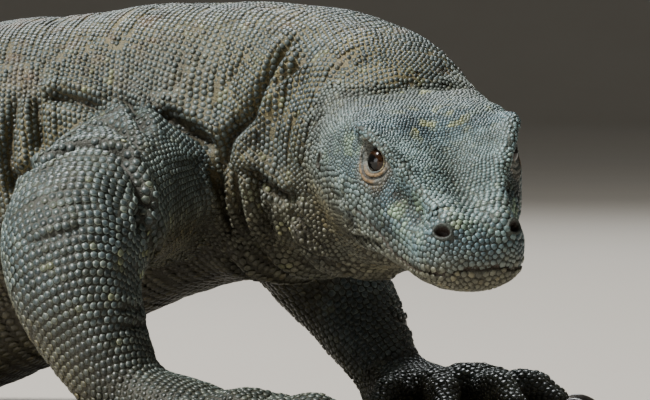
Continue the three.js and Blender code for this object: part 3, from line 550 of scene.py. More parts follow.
# ridges have a negative depth: brow, canthus, edge of the temple, roll of the lip
FOLDS += [
    ((("e", 120, -45.5, 45), ("e", 106, -45.5, 48.5), ("e", 92, -42.3, 48.8), ("e", 78, -36.8, 44.5), ("e", 62, -29, 36.5), ("e", 52, -26, 32)), -6.0, 4.6, 0, True),
    ((("e", 60, -29, 36), ("e", 46, -24.8, 30.2), ("e", 32, -22, 26.8), ("e", 22, -20, 24.5)), -3.0, 4.4, 0, True),
    ((("e", 118, -45.5, 43), ("e", 134, -50, 38), ("e", 154, -54, 31), ("e", 174, -57, 25)), -2.0, 8.0, 0, True),
    ((("e", 112, -47, 38), ("e", 103, -46.5, 41.5), ("e", 94, -45, 42.6), ("e", 85, -42.5, 41), ("e", 76, -39, 36.5), ("e", 69, -35, 31)), 1.6, 3.4, 0, True),
    ((("e", 72, -36, 24), ("e", 60, -32, 21), ("e", 48, -29, 19), ("e", 36, -27, 16)), 3.2, 6.5, 0, True),
    ((("e", 100, -43, 7), ("e", 78, -38, 4), ("e", 56, -32.5, 5), ("e", 34, -28, 5), ("e", 18, -24, 6)), -1.3, 4.5, 0, True),
    ((("e", 96, 0, 48), ("e", 80, 0, 44), ("e", 60, 0, 34), ("e", 40, 0, 27), ("e", 20, 0, 23)), 2.4, 9.0, 0, False),
]
TUBES = {"s": spine, "r": arm_r, "q": leg_r}
OTHER = {"s": spine, "r": arm_l, "q": leg_l}
def place(code, t, a, z=0.0, other=False):
    if code == "e":
        return to_world(np.array([[HEAD_LENGTH - t, -a if other else a, z]]))[0]
    if code == "h":
        return to_world(head_local(t, 16 - a if other else a))[0]
    return (OTHER if other else TUBES)[code].ring(np.array([float(t)]), np.radians([180.0 - a if other else float(a)]))[0]

# finer faces on the head, and finer still along the lips and round eyes, nostrils and ears
LIP_S = np.concatenate([[0, 1.5], np.arange(4, 110, 3.0)])
LIP = to_world(np.concatenate([head_local(LIP_S[::-1], np.full(len(LIP_S), 5.0)), [[HEAD_LENGTH + 1, 4, 1.2], [HEAD_LENGTH + 1, 0, 1.2], [HEAD_LENGTH + 1, -4, 1.2]],
                               head_local(LIP_S, np.full(len(LIP_S), 11.0))]))
SPOTS = [(np.array([HEAD_LENGTH - 88.8, 43.2 * k, 36.0]), "eye", k) for k in (1, -1)]
SPOTS += [(np.array([HEAD_LENGTH - 12, 21.0 * k, 20.3]), "nostril", k) for k in (1, -1)]
SPOTS += [(np.array([HEAD_LENGTH - 150, 55.5 * k, 12.0]), "ear", k) for k in (1, -1)]
LIP_TREE = tree(LIP)
def refine(test):
    bm = bmesh.new()
    bm.from_mesh(skin.data)
    faces = list(bm.faces)
    C = np.array([f.calc_center_median()[:] for f in faces]) * 1000
    near = np.where(np.linalg.norm(C - to_world(np.array([[90, 0, 0.0]])), axis=1) < 190)[0]
    ok = near[test(C[near])]
    edges = {e for i in ok for e in faces[i].edges}
    bmesh.ops.subdivide_edges(bm, edges=list(edges), cuts=1, use_grid_fill=True)
    bm.to_mesh(skin.data)
    bm.free()
CREASES = [np.array([place(*p, other=o) for p in line]) for line, depth, width, lift, both in FOLDS if depth >= 3.6 for o in (False,)]
CREASE_TREE = tree(np.concatenate([np.concatenate([a + (b - a) * u for u in np.arange(0, 1, 0.1)]) for c in CREASES for a, b in zip(c[:-1, None], c[1:, None])]))
def refine_folds():
    bm = bmesh.new()
    bm.from_mesh(skin.data)
    faces = [f for f in bm.faces if CREASE_TREE.find(f.calc_center_median() * 1000)[2] < 9.5]
    edges = {e for f in faces for e in f.edges}
    bmesh.ops.subdivide_edges(bm, edges=list(edges), cuts=1, use_grid_fill=True)
    bm.to_mesh(skin.data)
    bm.free()
refine_folds()
refine(lambda C: (lambda L: (L[:, 0] > -14) & (np.linalg.norm(L[:, 1:] - [0, 5], axis=1) < 75))(to_head(C)))
def fine(C):
    L = to_head(C)
    ok = np.array([LIP_TREE.find(c)[2] < 4.5 for c in C])
    for c, kind, k in SPOTS:
        ok |= np.linalg.norm(L - c, axis=1) < {"eye": 13, "nostril": 10, "ear": 11}[kind]
    return ok
refine(fine)
bm = bmesh.new()
bm.from_mesh(skin.data)
bmesh.ops.triangulate(bm, faces=bm.faces[:])
bmesh.ops.recalc_face_normals(bm, faces=bm.faces[:])
bm.to_mesh(skin.data)
bm.free()
V, T = arrays(skin.data)
E = np.empty(len(skin.data.edges) * 2, np.int32)
skin.data.edges.foreach_get("vertices", E)
E = E.reshape(-1, 2)
rid, tt, th = classify(V)
V = relax(V, E, 4, np.where((rid == HEAD_ID), 0.9, 0.0))
N = normals(V, T)
BASE_V, BASE_N, BASE_T = V, N, T
BASE = BVHTree.FromPolygons(V.tolist(), T.tolist(), all_triangles=True)
print("skin triangles", len(T))

def surface(P):
    """nearest place on the smooth body, its normal, and how far it was"""
    out = np.empty((len(P), 3))
    idx = np.empty(len(P), int)
    dist = np.empty(len(P))
    for i, p in enumerate(P):
        a, n, k, d = BASE.find_nearest(p)
        out[i], idx[i], dist[i] = a, k, d
    return out, blend_normal(out, idx), dist
def blend_normal(P, idx):
    tri = BASE_T[idx]
    w = np.stack([1 / (np.linalg.norm(P - BASE_V[tri[:, k]], axis=1) + 0.3) for k in range(3)], 1)
    return unit(sum(w[:, k:k + 1] * BASE_N[tri[:, k]] for k in range(3)))

class Fold:
    def __init__(self, P, depth, width, lift, taper=0.22):
        P = np.asarray(P, float)
        d = np.concatenate([[0], np.cumsum(np.linalg.norm(np.diff(P, axis=0), axis=1))])
        s = np.arange(0, d[-1] + 1, 2.0)
        self.P, self.N, _ = surface(hermite(d, P, s) if len(P) > 2 else np.stack([np.interp(s, d, P[:, j]) for j in range(3)], 1))
        self.T = unit(np.gradient(self.P, axis=0))
        u = s / max(s[-1], 1e-6)
        self.W = smooth(0, taper, u) * smooth(1, 1 - taper, u) if taper else np.ones(len(s))
        self.depth, self.width, self.lift = depth, width, lift
        self.sharp = 1.7 if depth > 2.5 else 1.0
def fold_field(P, folds):
    h, deep = np.zeros(len(P)), np.zeros(len(P))
    for f in folds:
        r = f.width * 4
        lo, hi = f.P.min(0) - r, f.P.max(0) + r
        k = np.where(((P > lo) & (P < hi)).all(1))[0]
        for c in range(0, len(k), 20000):
            kk = k[c:c + 20000]
            D = ((P[kk][:, None] - f.P[None])**2).sum(2)
            j = D.argmin(1)
            x = np.sqrt(D[np.arange(len(kk)), j]) / f.width
            side = np.einsum("ij,ij->i", P[kk] - f.P[j], np.cross(f.N[j], f.T[j]))
            g = np.exp(-x * x * f.sharp)
            h[kk] += f.W[j] * (-f.depth * g + f.lift * np.exp(-((x - 1.7) / 1.05)**2) * np.where(side > 0, 1.15, 0.6))
            # deep: how far into the fold's middle; the materials darken by it as painted shade
            deep[kk] = np.maximum(deep[kk], g * f.W[j] * min(1, f.depth / 3))
    return h, deep
folds = []
for line, depth, width, lift, both in FOLDS:
    folds.append(Fold([place(*p) for p in line], depth, width, lift))
    if both:
        folds.append(Fold([place(*p, other=True) for p in line], depth, width, lift))
lips = [Fold(LIP, 2.3, 1.15, 0.55, taper=0.06)]
bumps = [(place(*p, other=o), r, h) for p, r, h, both in BUMPS for o in ((False, True) if both else (False,))]

def relief(P, N, rid, t, th, with_lips=True):
    h, deep = fold_field(P, folds)
    hm, mouth = fold_field(P, lips) if with_lips else (0.0, np.zeros(len(P)))
    for c, r, up_ in bumps:
        d2 = ((P - c)**2).sum(1)
        h += np.where(d2 < 9 * r * r, up_ * np.exp(-d2 / (r * r)), 0)
    body, limb, head = rid == 0, (rid > 0) & (rid < 5), rid == HEAD_ID
    paws_ = (rid >= 5) & ~head
    turn = np.where(head, th * math.pi / 8, th)
    # lines of fine folds that run round the body, and soft lumps of muscle and fat
    round_ = np.stack([t, np.cos(turn) * 26, np.sin(turn) * 26], 1)
    line = (1 - np.abs(noise3(round_, 15, 3)))**5
    line2 = (1 - np.abs(noise3(np.stack([t, np.cos(turn) * 60, np.sin(turn) * 60], 1), 11, 5)))**6
    fade = np.where(body, np.interp(t, [0, 40, 250, 420, 760, 1000, 1500], [0.8, 1.4, 1.2, 0.7, 0.8, 0.35, 0.0]), 0) + limb * 1.0 + paws_ * 0.15
    patchy = smooth(-0.5, 0.5, noise3(P, 60, 8))
    h += -fade * (line * (0.5 + patchy) + 0.6 * line2)
    deep = np.maximum(deep, 0.35 * fade * line * (0.3 + patchy))
    lump = np.where(body, np.interp(t, [0, 100, 700, 1000, 1400], [1.2, 2.0, 2.0, 1.0, 0.0]), np.where(limb, 1.2, 0.0))
    h += lump * (fractal(P, 52, 21, 2) + 0.15)
    # the head: small wrinkles that cross the crown, and a pebbled cheek
    L = to_head(P)
    cross = (1 - np.abs(noise3(np.stack([L[:, 0] * 1.0 + 0.12 * np.abs(L[:, 1]), L[:, 1] * 0.35, L[:, 2] * 0.5], 1), 5.5, 9)))**4
    h += np.where(head, -0.45 * cross * smooth(-6, 10, L[:, 2]) + 0.7 * fractal(P, 16, 33, 2), 0) * np.where(head, smooth(2, 16, HEAD_LENGTH - L[:, 0]), 0)
    s = HEAD_LENGTH - L[:, 0]
    brow = np.exp(-((np.abs(L[:, 1]) - np.interp(s, [60, 80, 100, 120], [28, 37, 43, 45])) / 4.0)**2) * smooth(62, 76, s) * smooth(128, 112, s) * (L[:, 2] > 30)
    canthus = np.exp(-((np.abs(L[:, 1]) - np.interp(s, [10, 30, 62], [19, 22, 30])) / 3.5)**2) * smooth(10, 20, s) * smooth(74, 60, s) * (L[:, 2] > 15)
    h += hm
    return h, deep, mouth * smooth(112, 96, s)

# ---------------------------------------------------------------- eyes, nostrils and ears
class Spot:
    def __init__(self, C, kind, side):
        self.kind, self.side = kind, side
        if kind == "eye":
            n = unit([0.40, 0.87 * side, 0.24])
            self.C = C
        else:
            p, n, _ = surface(to_world(C[None]))
            self.C = to_head(p)[0]
            n = n[0]
            n = np.array([n @ HEAD_F, n @ HEAD_T, n @ HEAD_U])
        fore = {"eye": [1, 0, 0.0], "nostril": [0.62, -0.78 * side, 0.04], "ear": [1, 0, -0.25]}[kind]
        self.n = unit(n)
        self.e1 = unit(np.array(fore) - self.n * (np.array(fore) @ self.n))
        self.e2 = np.cross(self.n, self.e1)
        if self.e2[2] < 0:
            self.e2 = -self.e2
        ball = np.array([HEAD_LENGTH - EYE_AT[0], EYE_AT[1] * side, EYE_AT[2]]) - self.C
        self.ball = (ball @ self.e1, ball @ self.e2, ball @ self.n)
    def opening(self, p):
        a, b_up, b_low, e = {"eye": (8.3, 6.8, 6.6, 1.9), "nostril": (5.2, 3.2, 3.2, 2.0), "ear": (2.4, 4.6, 4.6, 2.0)}[self.kind]
        b = np.where(np.sin(p) > 0, b_up, b_low)
        return (np.abs(np.cos(p) / a)**e + np.abs(np.sin(p) / b)**e)**(-1 / e)
    def reach(self, p):
        if self.kind == "eye":
            s = np.sin(p)
            return np.where(s > 0, 18 - 5.5 * s**2, 18 + 4.5 * s**2)
        return np.full(len(p), {"nostril": 10.5, "ear": 13.0}[self.kind])
    def height(self, x, y, hb):
        """new height over the patch's plane, bareness, fold rings, pit, and how much of the patch is here"""
        p, r = np.arctan2(y, x), np.hypot(x, y)
        a, A = self.opening(p), self.reach(p)
        d = r - a
        rho = d / (A - a)
        inside = smooth(1.0, 0.8, rho)
        if self.kind == "eye":
            def ball(x, y):
                q = np.clip(EYE_RADIUS**2 - (x - self.ball[0])**2 - (y - self.ball[1])**2, 0.5, None)
                return self.ball[2] + np.sqrt(q)
            k = np.minimum(1, (a + 1.2) / np.maximum(r, 0.1))
            lid = ball(x * k, y * k) + np.where(d < 1.0, 1.0 * np.sqrt(np.clip(1 - (d - 1.0)**2, 0, 1)), 1.0) - 0.1
            low = smooth(0.25, -0.35, np.sin(p))
            gap = np.where(low > 0.5, 3.9, 4.6)
            wave = np.abs(np.sin(math.pi * np.clip(d - 0.4, 0, None) / gap))**0.65
            amp = (low * 1.3 + (1 - low) * 0.8) * smooth(0.0, 1.2, d) * smooth(1.0, 0.45, rho)
            fore = smooth(-0.2, 0.8, np.cos(p))
            bag = (1.5 * low * np.exp(-((d - 5) / 4.5)**2) + 1.0 * (1 - low) * np.exp(-((d - 3.0) / 2.4)**2)) * (1 - 0.75 * fore)
            w = smooth(0.8, 5.5 + 1.5 * low, d)
            h = lid * (1 - w) + hb * w + amp * (wave - 0.45) + bag * smooth(0.2, 2.5, d)
            h = np.where(d < 0, ball(x, y) - 0.5 - 1.6 * smooth(0, -1.0, d), h)
            return np.where(rho < 1, h, hb), smooth(0.66, 0.42, rho), wave, np.zeros(len(x)), rho
        depth = {"nostril": 4.6, "ear": 4.5}[self.kind]
        h = hb - depth * smooth(0.2, -2.6, d) + 0.9 * np.exp(-((d - 1.0) / 1.0)**2)
        return h, smooth(2.2, 1.2, d), np.zeros(len(x)), smooth(0.3, -0.9, d), rho
spots = [Spot(*s) for s in SPOTS]

def shape(P, N, rid, t, th, under=False, with_lips=True):
    """moves points of the smooth body onto its folds; also how deep in a fold, in the mouth, bare of scales, ring, in a pit, near the eye"""
    h, deep, mouth = relief(P, N, rid, t, th, with_lips)
    Q = P + N * h[:, None]
    bare, ring, pit, lid = [np.zeros(len(P)) for _ in range(4)]
    L = to_head(Q)
    for s in spots:
        v = L - s.C
        k = np.where((np.linalg.norm(v, axis=1) < 27))[0]
        if not len(k):
            continue
        x, y, hb = v[k] @ s.e1, v[k] @ s.e2, v[k] @ s.n
        hn, b, w, p, rho = s.height(x, y, hb)
        ok = (rho < 1) & (np.abs(hb) < 12)
        if under:
            hn = np.where(rho < 0.88, hn - (1.0 if s.kind == "eye" else 0.7), hn)
        L[k[ok]] += s.n * (hn - hb)[ok][:, None]
        bare[k[ok]] = np.maximum(bare[k[ok]], b[ok])
        pit[k[ok]] = np.maximum(pit[k[ok]], p[ok])
        if s.kind == "eye":
            ring[k[ok]] = w[ok]
            lid[k[ok]] = np.maximum(lid[k[ok]], 1 - np.clip(rho[ok], 0, 1))
    near = np.linalg.norm(to_head(Q) - np.array([90, 0, 0]), axis=1) < 190
    Q = np.where(near[:, None], to_world(L), Q)
    return Q, dict(deep=deep, mouth=mouth, bare=bare, ring=ring, pit=pit, lid=lid)

# ---------------------------------------------------------------- markings and painted shade, the same for skin and scales
def coat_depth(rid, t):
    body = np.interp(t, [0, 900, 1300, 1600, 2157], [COAT, COAT, 1.1, 0.8, 0.4])
    head = np.interp(t, [0, 8, 140, 195], [0.5, COAT_HEAD, COAT_HEAD, COAT])
    return np.where(rid == 0, body, np.where(rid == HEAD_ID, head, np.where(rid < 5, 1.25, 0.8)))

def marks_and_shade(P, N, rid, t, th):
    body, limb, head = rid == 0, (rid > 0) & (rid < 5), rid == HEAD_ID
    paw_ = (rid >= 5) & ~head
    L = to_head(P)
    s = HEAD_LENGTH - L[:, 0]
    # under marks faces turned down; it paints shade there: darker, less blue, and warmer as painted light bounced up
    # from the ground
    under = smooth(0.15, -0.55, N[:, 2])
    big, mid_, small = fractal(P, 90, 41), fractal(P, 28, 42), noise3(P, 9, 44)
    warm = 0.30 + 0.35 * big + 0.22 * mid_
    warm = np.where(head, 0.10 + 0.10 * mid_ + 0.35 * smooth(95, 170, s), warm)
    # painted bounce light: the underside made warmer
    warm = warm + 0.5 * under
    tail_part = body & (t > 900)
    warm = np.where(tail_part, warm - 0.08, warm)
    rust = np.where(body, np.interp(t, [90, 180, 330, 480], [0.0, 0.42, 0.36, 0.0]) * smooth(0.2, 0.8, N[:, 2]) * smooth(0.15, 0.55, fractal(P, 20, 51)), 0)
    rust = rust + np.where(body & (t < 900), 0.25 * smooth(0.45, 0.75, small) * smooth(0.1, 0.7, N[:, 2]), 0)
    def spot_(x, y, z, r):
        return np.exp(-((s - x)**2 + (np.abs(L[:, 1]) - y)**2 + (L[:, 2] - z)**2) / (r * r)) * head
    fleck, fine_ = noise3(P, 5.0, 63), noise3(P, 3.4, 65)
    yellow = np.where(~paw_, 0.5 * smooth(0.66, 0.84, noise3(P, 6.5, 61)) * smooth(-0.1, 0.3, fractal(P, 70, 62)), 0)
    yellow = np.maximum(yellow, np.where(body, 0.45 * smooth(0.25, 0.7, fine_) * np.interp(t, [20, 60, 170, 220], [0, 1, 1, 0]) * smooth(0.0, 0.5, fractal(P, 34, 66)), 0))
    yellow = np.maximum(yellow, 0.75 * smooth(0.10, 0.45, fleck) * np.clip(spot_(112, 6, 50, 17) + spot_(26, 15, 26, 6) + 0.8 * spot_(33, 26, 18, 6), 0, 1))
    mint = 0.9 * smooth(-0.15, 0.35, noise3(P, 5.5, 71)) * np.clip(spot_(52, 31, 17, 13) + spot_(66, 36, 12, 8) + 0.9 * spot_(12, 9, 25, 6) + 0.7 * spot_(28, 25, 6, 8), 0, 1)
    mint = np.maximum(mint, 0.8 * smooth(0.0, 0.4, noise3(P, 5, 72)) * np.clip(spot_(116, 49, 32, 11) + 0.6 * spot_(136, 52, 20, 9), 0, 1))
    # painted shade: body and limbs darker underneath, most under the chest
    dark = np.where(body | limb, np.where(limb, 0.6, np.interp(t, [0, 120, 200], [0.16, 0.24, 0.88])) * under, 0.0)
    dark = dark + np.where(body, smooth(0.0, 0.5, -big) * 0.15, 0)
    # painted shade: paws dark, lighter where they face up
    dark = np.where(paw_, 0.84 - 0.35 * smooth(0.45, 0.95, N[:, 2]) + 0.2 * mid_, dark)
    dark = np.where(limb, np.maximum(dark, 0.15 + 0.5 * smooth(0.55, 1.0, t / 240)), dark)
    dark = np.where(head, 0.55 * smooth(0.0, 0.5, noise3(P, 6, 74)) * np.clip(spot_(70, 37, 10, 12) + spot_(80, 40, 20, 9) + 0.8 * spot_(100, 46, 12, 12), 0, 1), dark)
    # painted shade: the lower jaw, below the mouth line, darker and warmer towards the chin
    jaw = head & (L[:, 2] < -2)
    dark = np.where(jaw, 0.14 + 0.24 * smooth(70, 40, s), dark)
    warm = warm + 0.55 * jaw * smooth(80, 40, s)
    # painted shade: the throat darker, most where it faces down
    dark = np.where(head & (L[:, 2] < -22), 0.15 + 0.35 * under, dark)
    bands = np.where(body & (t > 1000), 0.25 * smooth(0.2, 0.7, np.sin(t / 34 + 1.5 * big)), 0)
    dark = dark + bands
    # the blue fades on the underside, as painted shade
    cool = np.where(head, 0.85 - 0.45 * smooth(90, 180, s), np.where(body, np.interp(t, [0, 140, 300, 900, 1400], [0.48, 0.40, 0.46, 0.42, 0.34]), 0.52)) * (1 - 0.7 * under)
    lip = np.where(head, smooth(9, 4, np.abs(L[:, 2] - np.interp(s, HEAD[:, 0], HEAD[:, 10]) - 1)) * smooth(108, 90, s) * smooth(8, 20, s), 0)
    pale = 0.35 * lip + 0.45 * np.clip(spot_(132, 50, 28, 22) + spot_(40, 28, 14, 20) + spot_(92, 47, 12, 16) + 0.6 * spot_(10, 14, 14, 14), 0, 1) * (0.6 + 0.5 * noise3(P, 7, 77))
    bead = np.where(body, np.interp(t, [0, 30, 300, 700, 1100], [0.7, 1.0, 0.8, 0.5, 0.2]) * (1 - under) * (0.65 + 0.5 * mid_), 0)
    for o in (False, True):
        bead = bead * (1 - 0.9 * np.exp(-((P - place("r", 50, 168, other=o))**2).sum(1) / 46.0**2))
    return dict(bead=np.clip(bead, 0, 1), warm=np.clip(warm, 0, 1), rust=np.clip(rust, 0, 1), yellow=np.clip(yellow, 0, 1), mint=np.clip(mint, 0, 1), dark=np.clip(dark, 0, 1), cool=np.clip(cool, 0, 1), pale=np.clip(pale, 0, 1))

LOW, HIGH = np.array(CAD_BOX[0]) * 1000 + 0.05, np.array(CAD_BOX[1]) * 1000 - 0.05
def boxed(P):
    return np.clip(P, LOW, HIGH)
FLOOR_SKIN = 0.35

def skin_points(P, N, rid, t, th, under=False, with_lips=True):
    Q, info = shape(P, N, rid, t, th, under, with_lips)
    Q = Q - N * (coat_depth(rid, t) * (1 - info["bare"]))[:, None]
    return Q, info

# ---------------------------------------------------------------- the skin
rid, tt, th = classify(BASE_V)
Q, info = skin_points(BASE_V, BASE_N, rid, tt, th, under=True)
Q[:, 2] = np.maximum(Q[:, 2], FLOOR_SKIN)
Q = boxed(Q)
skin.data.vertices.foreach_set("co", (Q * 0.001).astype(np.float32).ravel())
skin.data.polygons.foreach_set("use_smooth", np.ones(len(skin.data.polygons), bool))
skin.data.update()
MARKS_AND_SHADE = marks_and_shade(BASE_V, BASE_N, rid, tt, th)
for k, v in {**MARKS_AND_SHADE, **info}.items():
    put(skin.data, k, v)

# lids, nostrils and ear openings, as finer meshes over the skin
patches = []
for s in spots:
    na = 96 if s.kind == "eye" else 64
    p = np.arange(na) * 2 * math.pi / na
    a, A = s.opening(p), s.reach(p)
    if s.kind == "eye":
        d = np.concatenate([[0.0, 0.08, 0.25, 0.5, 0.85, 1.3], np.arange(1.8, 30, 0.55)])
        rings = [a + np.minimum(x, (A - a) * (0.06 + 0.92 * min(1, x / 17.0))) if x > 1.3 else a + x for x in d]
        rings = [r for r, x in zip(rings, d) if x <= 17.5]
    else:
        rings = [a * f for f in (0.06, 0.25, 0.45, 0.62, 0.78, 0.9, 1.0)] + [a + (A - a) * f for f in np.linspace(0.06, 0.97, 15)]
    R = np.array(rings)
    X, Y = R * np.cos(p), R * np.sin(p)
    L = s.C + X.ravel()[:, None] * s.e1 + Y.ravel()[:, None] * s.e2
    W = to_world(L + s.n * 14)
    D = Vector((s.n[0] * HEAD_F + s.n[1] * HEAD_T + s.n[2] * HEAD_U).tolist())
    P, K = np.empty((len(W), 3)), np.empty(len(W), int)
    for i, w in enumerate(W):
        hit, _, k, _ = BASE.ray_cast(Vector(w.tolist()), -D)
        if hit is None:
            hit, _, k, _ = BASE.find_nearest(w)
        P[i], K[i] = hit, k
    Nn = blend_normal(P, K)
    r_, t_, h_ = classify(P)
    Q, inf = skin_points(P, Nn, r_, t_, h_)
    n = s.n[0] * HEAD_F + s.n[1] * HEAD_T + s.n[2] * HEAD_U
    edge = np.repeat(np.arange(len(R)), na)
    Q -= n * (1.2 * smooth(len(R) - 3, len(R) - 1, edge))[:, None]
    F = [(i * na + j, i * na + (j + 1) % na, (i + 1) * na + (j + 1) % na, (i + 1) * na + j) for i in range(len(R) - 1) for j in range(na)]
    if s.kind != "eye":
        F.append(tuple(range(na - 1, -1, -1)))
    flip = np.dot(np.cross(s.e1, s.e2), s.n) < 0
    if not flip:
        F = [f[::-1] for f in F]
    o = new_object({"eye": "eyelids", "nostril": "nostril", "ear": "ear_opening"}[s.kind] + ("_left" if s.side > 0 else "_right"), boxed(Q), F)
    bm = bmesh.new()
    bm.from_mesh(o.data)
    bmesh.ops.triangulate(bm, faces=bm.faces[:])
    bm.to_mesh(o.data)
    bm.free()
    for f in o.data.polygons:
        f.use_smooth = True
    for k, v in {**marks_and_shade(P, Nn, r_, t_, h_), **inf}.items():
        put(o.data, k, v)
    patches.append(o)

# ---------------------------------------------------------------- where the scales grow
SEEDS = []
def rows(rid, ring, t0, t1, pa, pb, keep=None, kind=0, wave=0.0, turn=2 * math.pi, jitter=0.11):
    t, i = t0, 0
    grid = np.linspace(0, turn, 241)
    while t < t1:
        P = ring(np.full(241, t), grid)
        seg = np.linalg.norm(np.diff(P, axis=0), axis=1)
        mid_ = (grid[1:] + grid[:-1]) / 2
        width = pb(t, mid_)
        c = np.concatenate([[0], np.cumsum(seg / width)])
        n = max(3, int(round(c[-1])))
        k = (np.arange(n) + 0.5 * (i % 2) + RNG.uniform(-jitter, jitter, n)) / n * c[-1]
        a = np.interp(np.mod(k, c[-1]), c, grid)
        step = pa(t)
        ti = t + RNG.uniform(-jitter, jitter, n) * step
        if wave:
            ti = ti + wave * noise3(np.stack([np.full(n, t), np.cos(a * 2 * math.pi / turn) * 60, np.sin(a * 2 * math.pi / turn) * 60], 1), 40, 91)
        ok = (ti >= 0) & np.ones(n, bool)
        if keep is not None:
            ok &= keep(ti, a)
        SEEDS.append((np.full(ok.sum(), rid), ti[ok], a[ok], ring(ti[ok], a[ok]), np.full(ok.sum(), step), np.interp(a[ok], mid_, width * np.ones(240)), np.full(ok.sum(), kind)))
        # half rows where two rows are far apart, on the outside of a bend
        gap_ = np.linalg.norm(ring(np.full(n, t + step), a) - ring(np.full(n, t), a), axis=1)
        far = ok & (gap_ > 1.33 * step)
        if far.any():
            th_ = a[far] + 0.5 * turn / n
            SEEDS.append((np.full(far.sum(), rid), ti[far] + step / 2, th_, ring(ti[far] + step / 2, th_), np.full(far.sum(), step), np.interp(a[far], mid_, width * np.ones(240)), np.full(far.sum(), kind)))
        t += step
        i += 1

def even_rows(rid, ring, t0, t1, pa, pb, kind=0, wave=0.0, turn=2 * math.pi, jitter=0.11, keep=None):
    """rows at equal distances along the surface, so that the outside of a bend has no gaps"""
    ts, th = np.linspace(t0, t1, 121), np.linspace(0, turn, 181)
    TT, HH = np.meshgrid(ts, th, indexing="ij")
    P = ring(TT.ravel(), HH.ravel()).reshape(121, 181, 3)
    w = np.concatenate([np.zeros((1, 181)), np.cumsum(np.linalg.norm(np.diff(P, axis=0), axis=2), axis=0)])
    w *= w[-1].mean() / w[-1]
    mean = w.mean(1)
    d, i = 0.3, 0
    mid_ = (th[1:] + th[:-1]) / 2
    while d < mean[-1]:
        t_mean = np.interp(d, mean, ts)
        step = float(pa(t_mean))
        line = np.array([np.interp(d, w[:, j], ts) for j in range(181)])
        if wave:
            line = line + wave * noise3(np.stack([np.full(181, d * 0.7), np.cos(th * 2 * math.pi / turn) * 40, np.sin(th * 2 * math.pi / turn) * 40], 1), 34, 92)
        Q = ring(np.clip(line, t0, t1), th)
        seg = np.linalg.norm(np.diff(Q, axis=0), axis=1)
        width = pb(t_mean, mid_) * np.ones(180)
        c = np.concatenate([[0], np.cumsum(seg / width)])
        n = max(3, int(round(c[-1])))
        k = (np.arange(n) + 0.5 * (i % 2) + RNG.uniform(-jitter, jitter, n)) / n * c[-1]
        a = np.interp(np.mod(k, c[-1]), c, th)
        ti = np.interp(a, th, line) + RNG.uniform(-jitter, jitter, n) * step
        ok = (ti >= t0) & (ti <= t1)
        if keep is not None:
            ok &= keep(ti, a)
        SEEDS.append((np.full(ok.sum(), rid), ti[ok], a[ok], ring(ti[ok], a[ok]), np.full(ok.sum(), step), np.interp(a[ok], mid_, width), np.full(ok.sum(), kind)))
        d += step
        i += 1

def belly(t, a):
    half = np.radians(np.interp(t, [0, 60, 200, 330, 800, 950, 1200, 2157], [30, 36, 42, 50, 50, 40, 34, 30]))
    return np.abs(np.mod(a - 1.5 * math.pi + math.pi, 2 * math.pi) - math.pi) < half
back_pa = lambda t: np.interp(t, [0, 60, 150, 260, 340, 560, 800, 1000, 1400, 1800, 2157], [3.1, 3.8, 4.1, 3.9, 3.8, 4.9, 5.3, 6.2, 6.6, 6.0, 4.6])
back_pb = lambda t, a: np.interp(t, [0, 60, 150, 260, 340, 560, 800, 1000, 1400, 1800, 2157], [2.9, 3.6, 3.9, 3.8, 3.7, 4.7, 5.1, 4.9, 4.3, 3.4, 2.2])
rows(0, spine.ring, 1.0, spine.L - 1.5, back_pa, back_pb, lambda t, a: ~belly(t, a), 0, 5.0)
rows(0, spine.ring, 1.0, spine.L - 1.5, lambda t: np.interp(t, [0, 100, 330, 800, 1200, 2157], [4.6, 5.4, 7.6, 7.6, 7.0, 4.6]),
     lambda t, a: np.interp(t, [0, 100, 330, 800, 1200, 1800, 2157], [4.2, 4.8, 6.6, 6.6, 5.4, 3.6, 2.2]), belly, 1, 1.5, jitter=0.05)
for i in (1, 2):
    tube = REGIONS[i][1]
    grow = 1.0 if i == 1 else 1.16
    even_rows(i, tube.ring, 4, tube.L, lambda t: grow * np.interp(t, [0, 55, 90, 130, 240], [2.9, 3.2, 4.0, 4.6, 3.9]), lambda t, a: grow * np.interp(t, [0, 55, 90, 130, 240], [3.1, 3.5, 4.4, 5.2, 4.1]), 2, 2.5, jitter=0.06)
for i in (3, 4):
    tube = REGIONS[i][1]
    even_rows(i, tube.ring, 4, tube.L, lambda t: np.interp(t, [0, 130, 260], [5.6, 5.3, 4.3]), lambda t, a: np.interp(t, [0, 130, 260], [5.8, 5.4, 4.3]), 2, 2.5, jitter=0.06)
for i in range(5, HEAD_ID):
    name, tube = REGIONS[i]
    if name.endswith("palm"):
        even_rows(i, tube.ring, 0.5, tube.L, lambda t: 4.3, lambda t, a: np.where(np.sin(a) > -0.3, 4.0, 4.8), 3)
    else:
        even_rows(i, tube.ring, 0.5, tube.L, lambda t: 4.1, lambda t, a: np.where(np.sin(a) > 0.55, 5.2, np.where(np.sin(a) < -0.4, 4.2, 3.2)), 4, jitter=0.05)
# fine granules on crown and temples, larger plates on the snout, and from the cheek down
def side_(a):
    return np.where(a <= 8, a, 16 - a)
def plates(s, a):
    return side_(a) > np.interp(s, [0, 60, 80, 110, 150, 203], [3.7, 3.7, 3.9, 4.05, 4.2, 4.2])
head_pa = lambda s: np.interp(s, [0, 12, 30, 50, 72, 100, 140, 200], [3.3, 3.7, 3.7, 2.9, 2.05, 1.95, 2.2, 3.2])
even_rows(HEAD_ID, lambda s, a: to_world(head_local(s, a)), 0.2, 203, head_pa, lambda s, a: np.full(len(a), head_pa(s)), 5, 2.5, turn=16.0, jitter=0.24, keep=lambda s, a: ~plates(s, a))
plate_pa = lambda s: np.interp(s, [0, 12, 30, 60, 100, 150, 200], [3.2, 3.5, 3.6, 3.5, 3.6, 3.3, 3.6])
even_rows(HEAD_ID, lambda s, a: to_world(head_local(s, a)), 0.2, 203, plate_pa, lambda s, a: plate_pa(s) * np.interp(side_(a), [3.5, 5, 6, 8], [1.0, 1.08, 0.95, 1.05]), 5, 2.5, turn=16.0, jitter=0.18, keep=plates)
k = 0
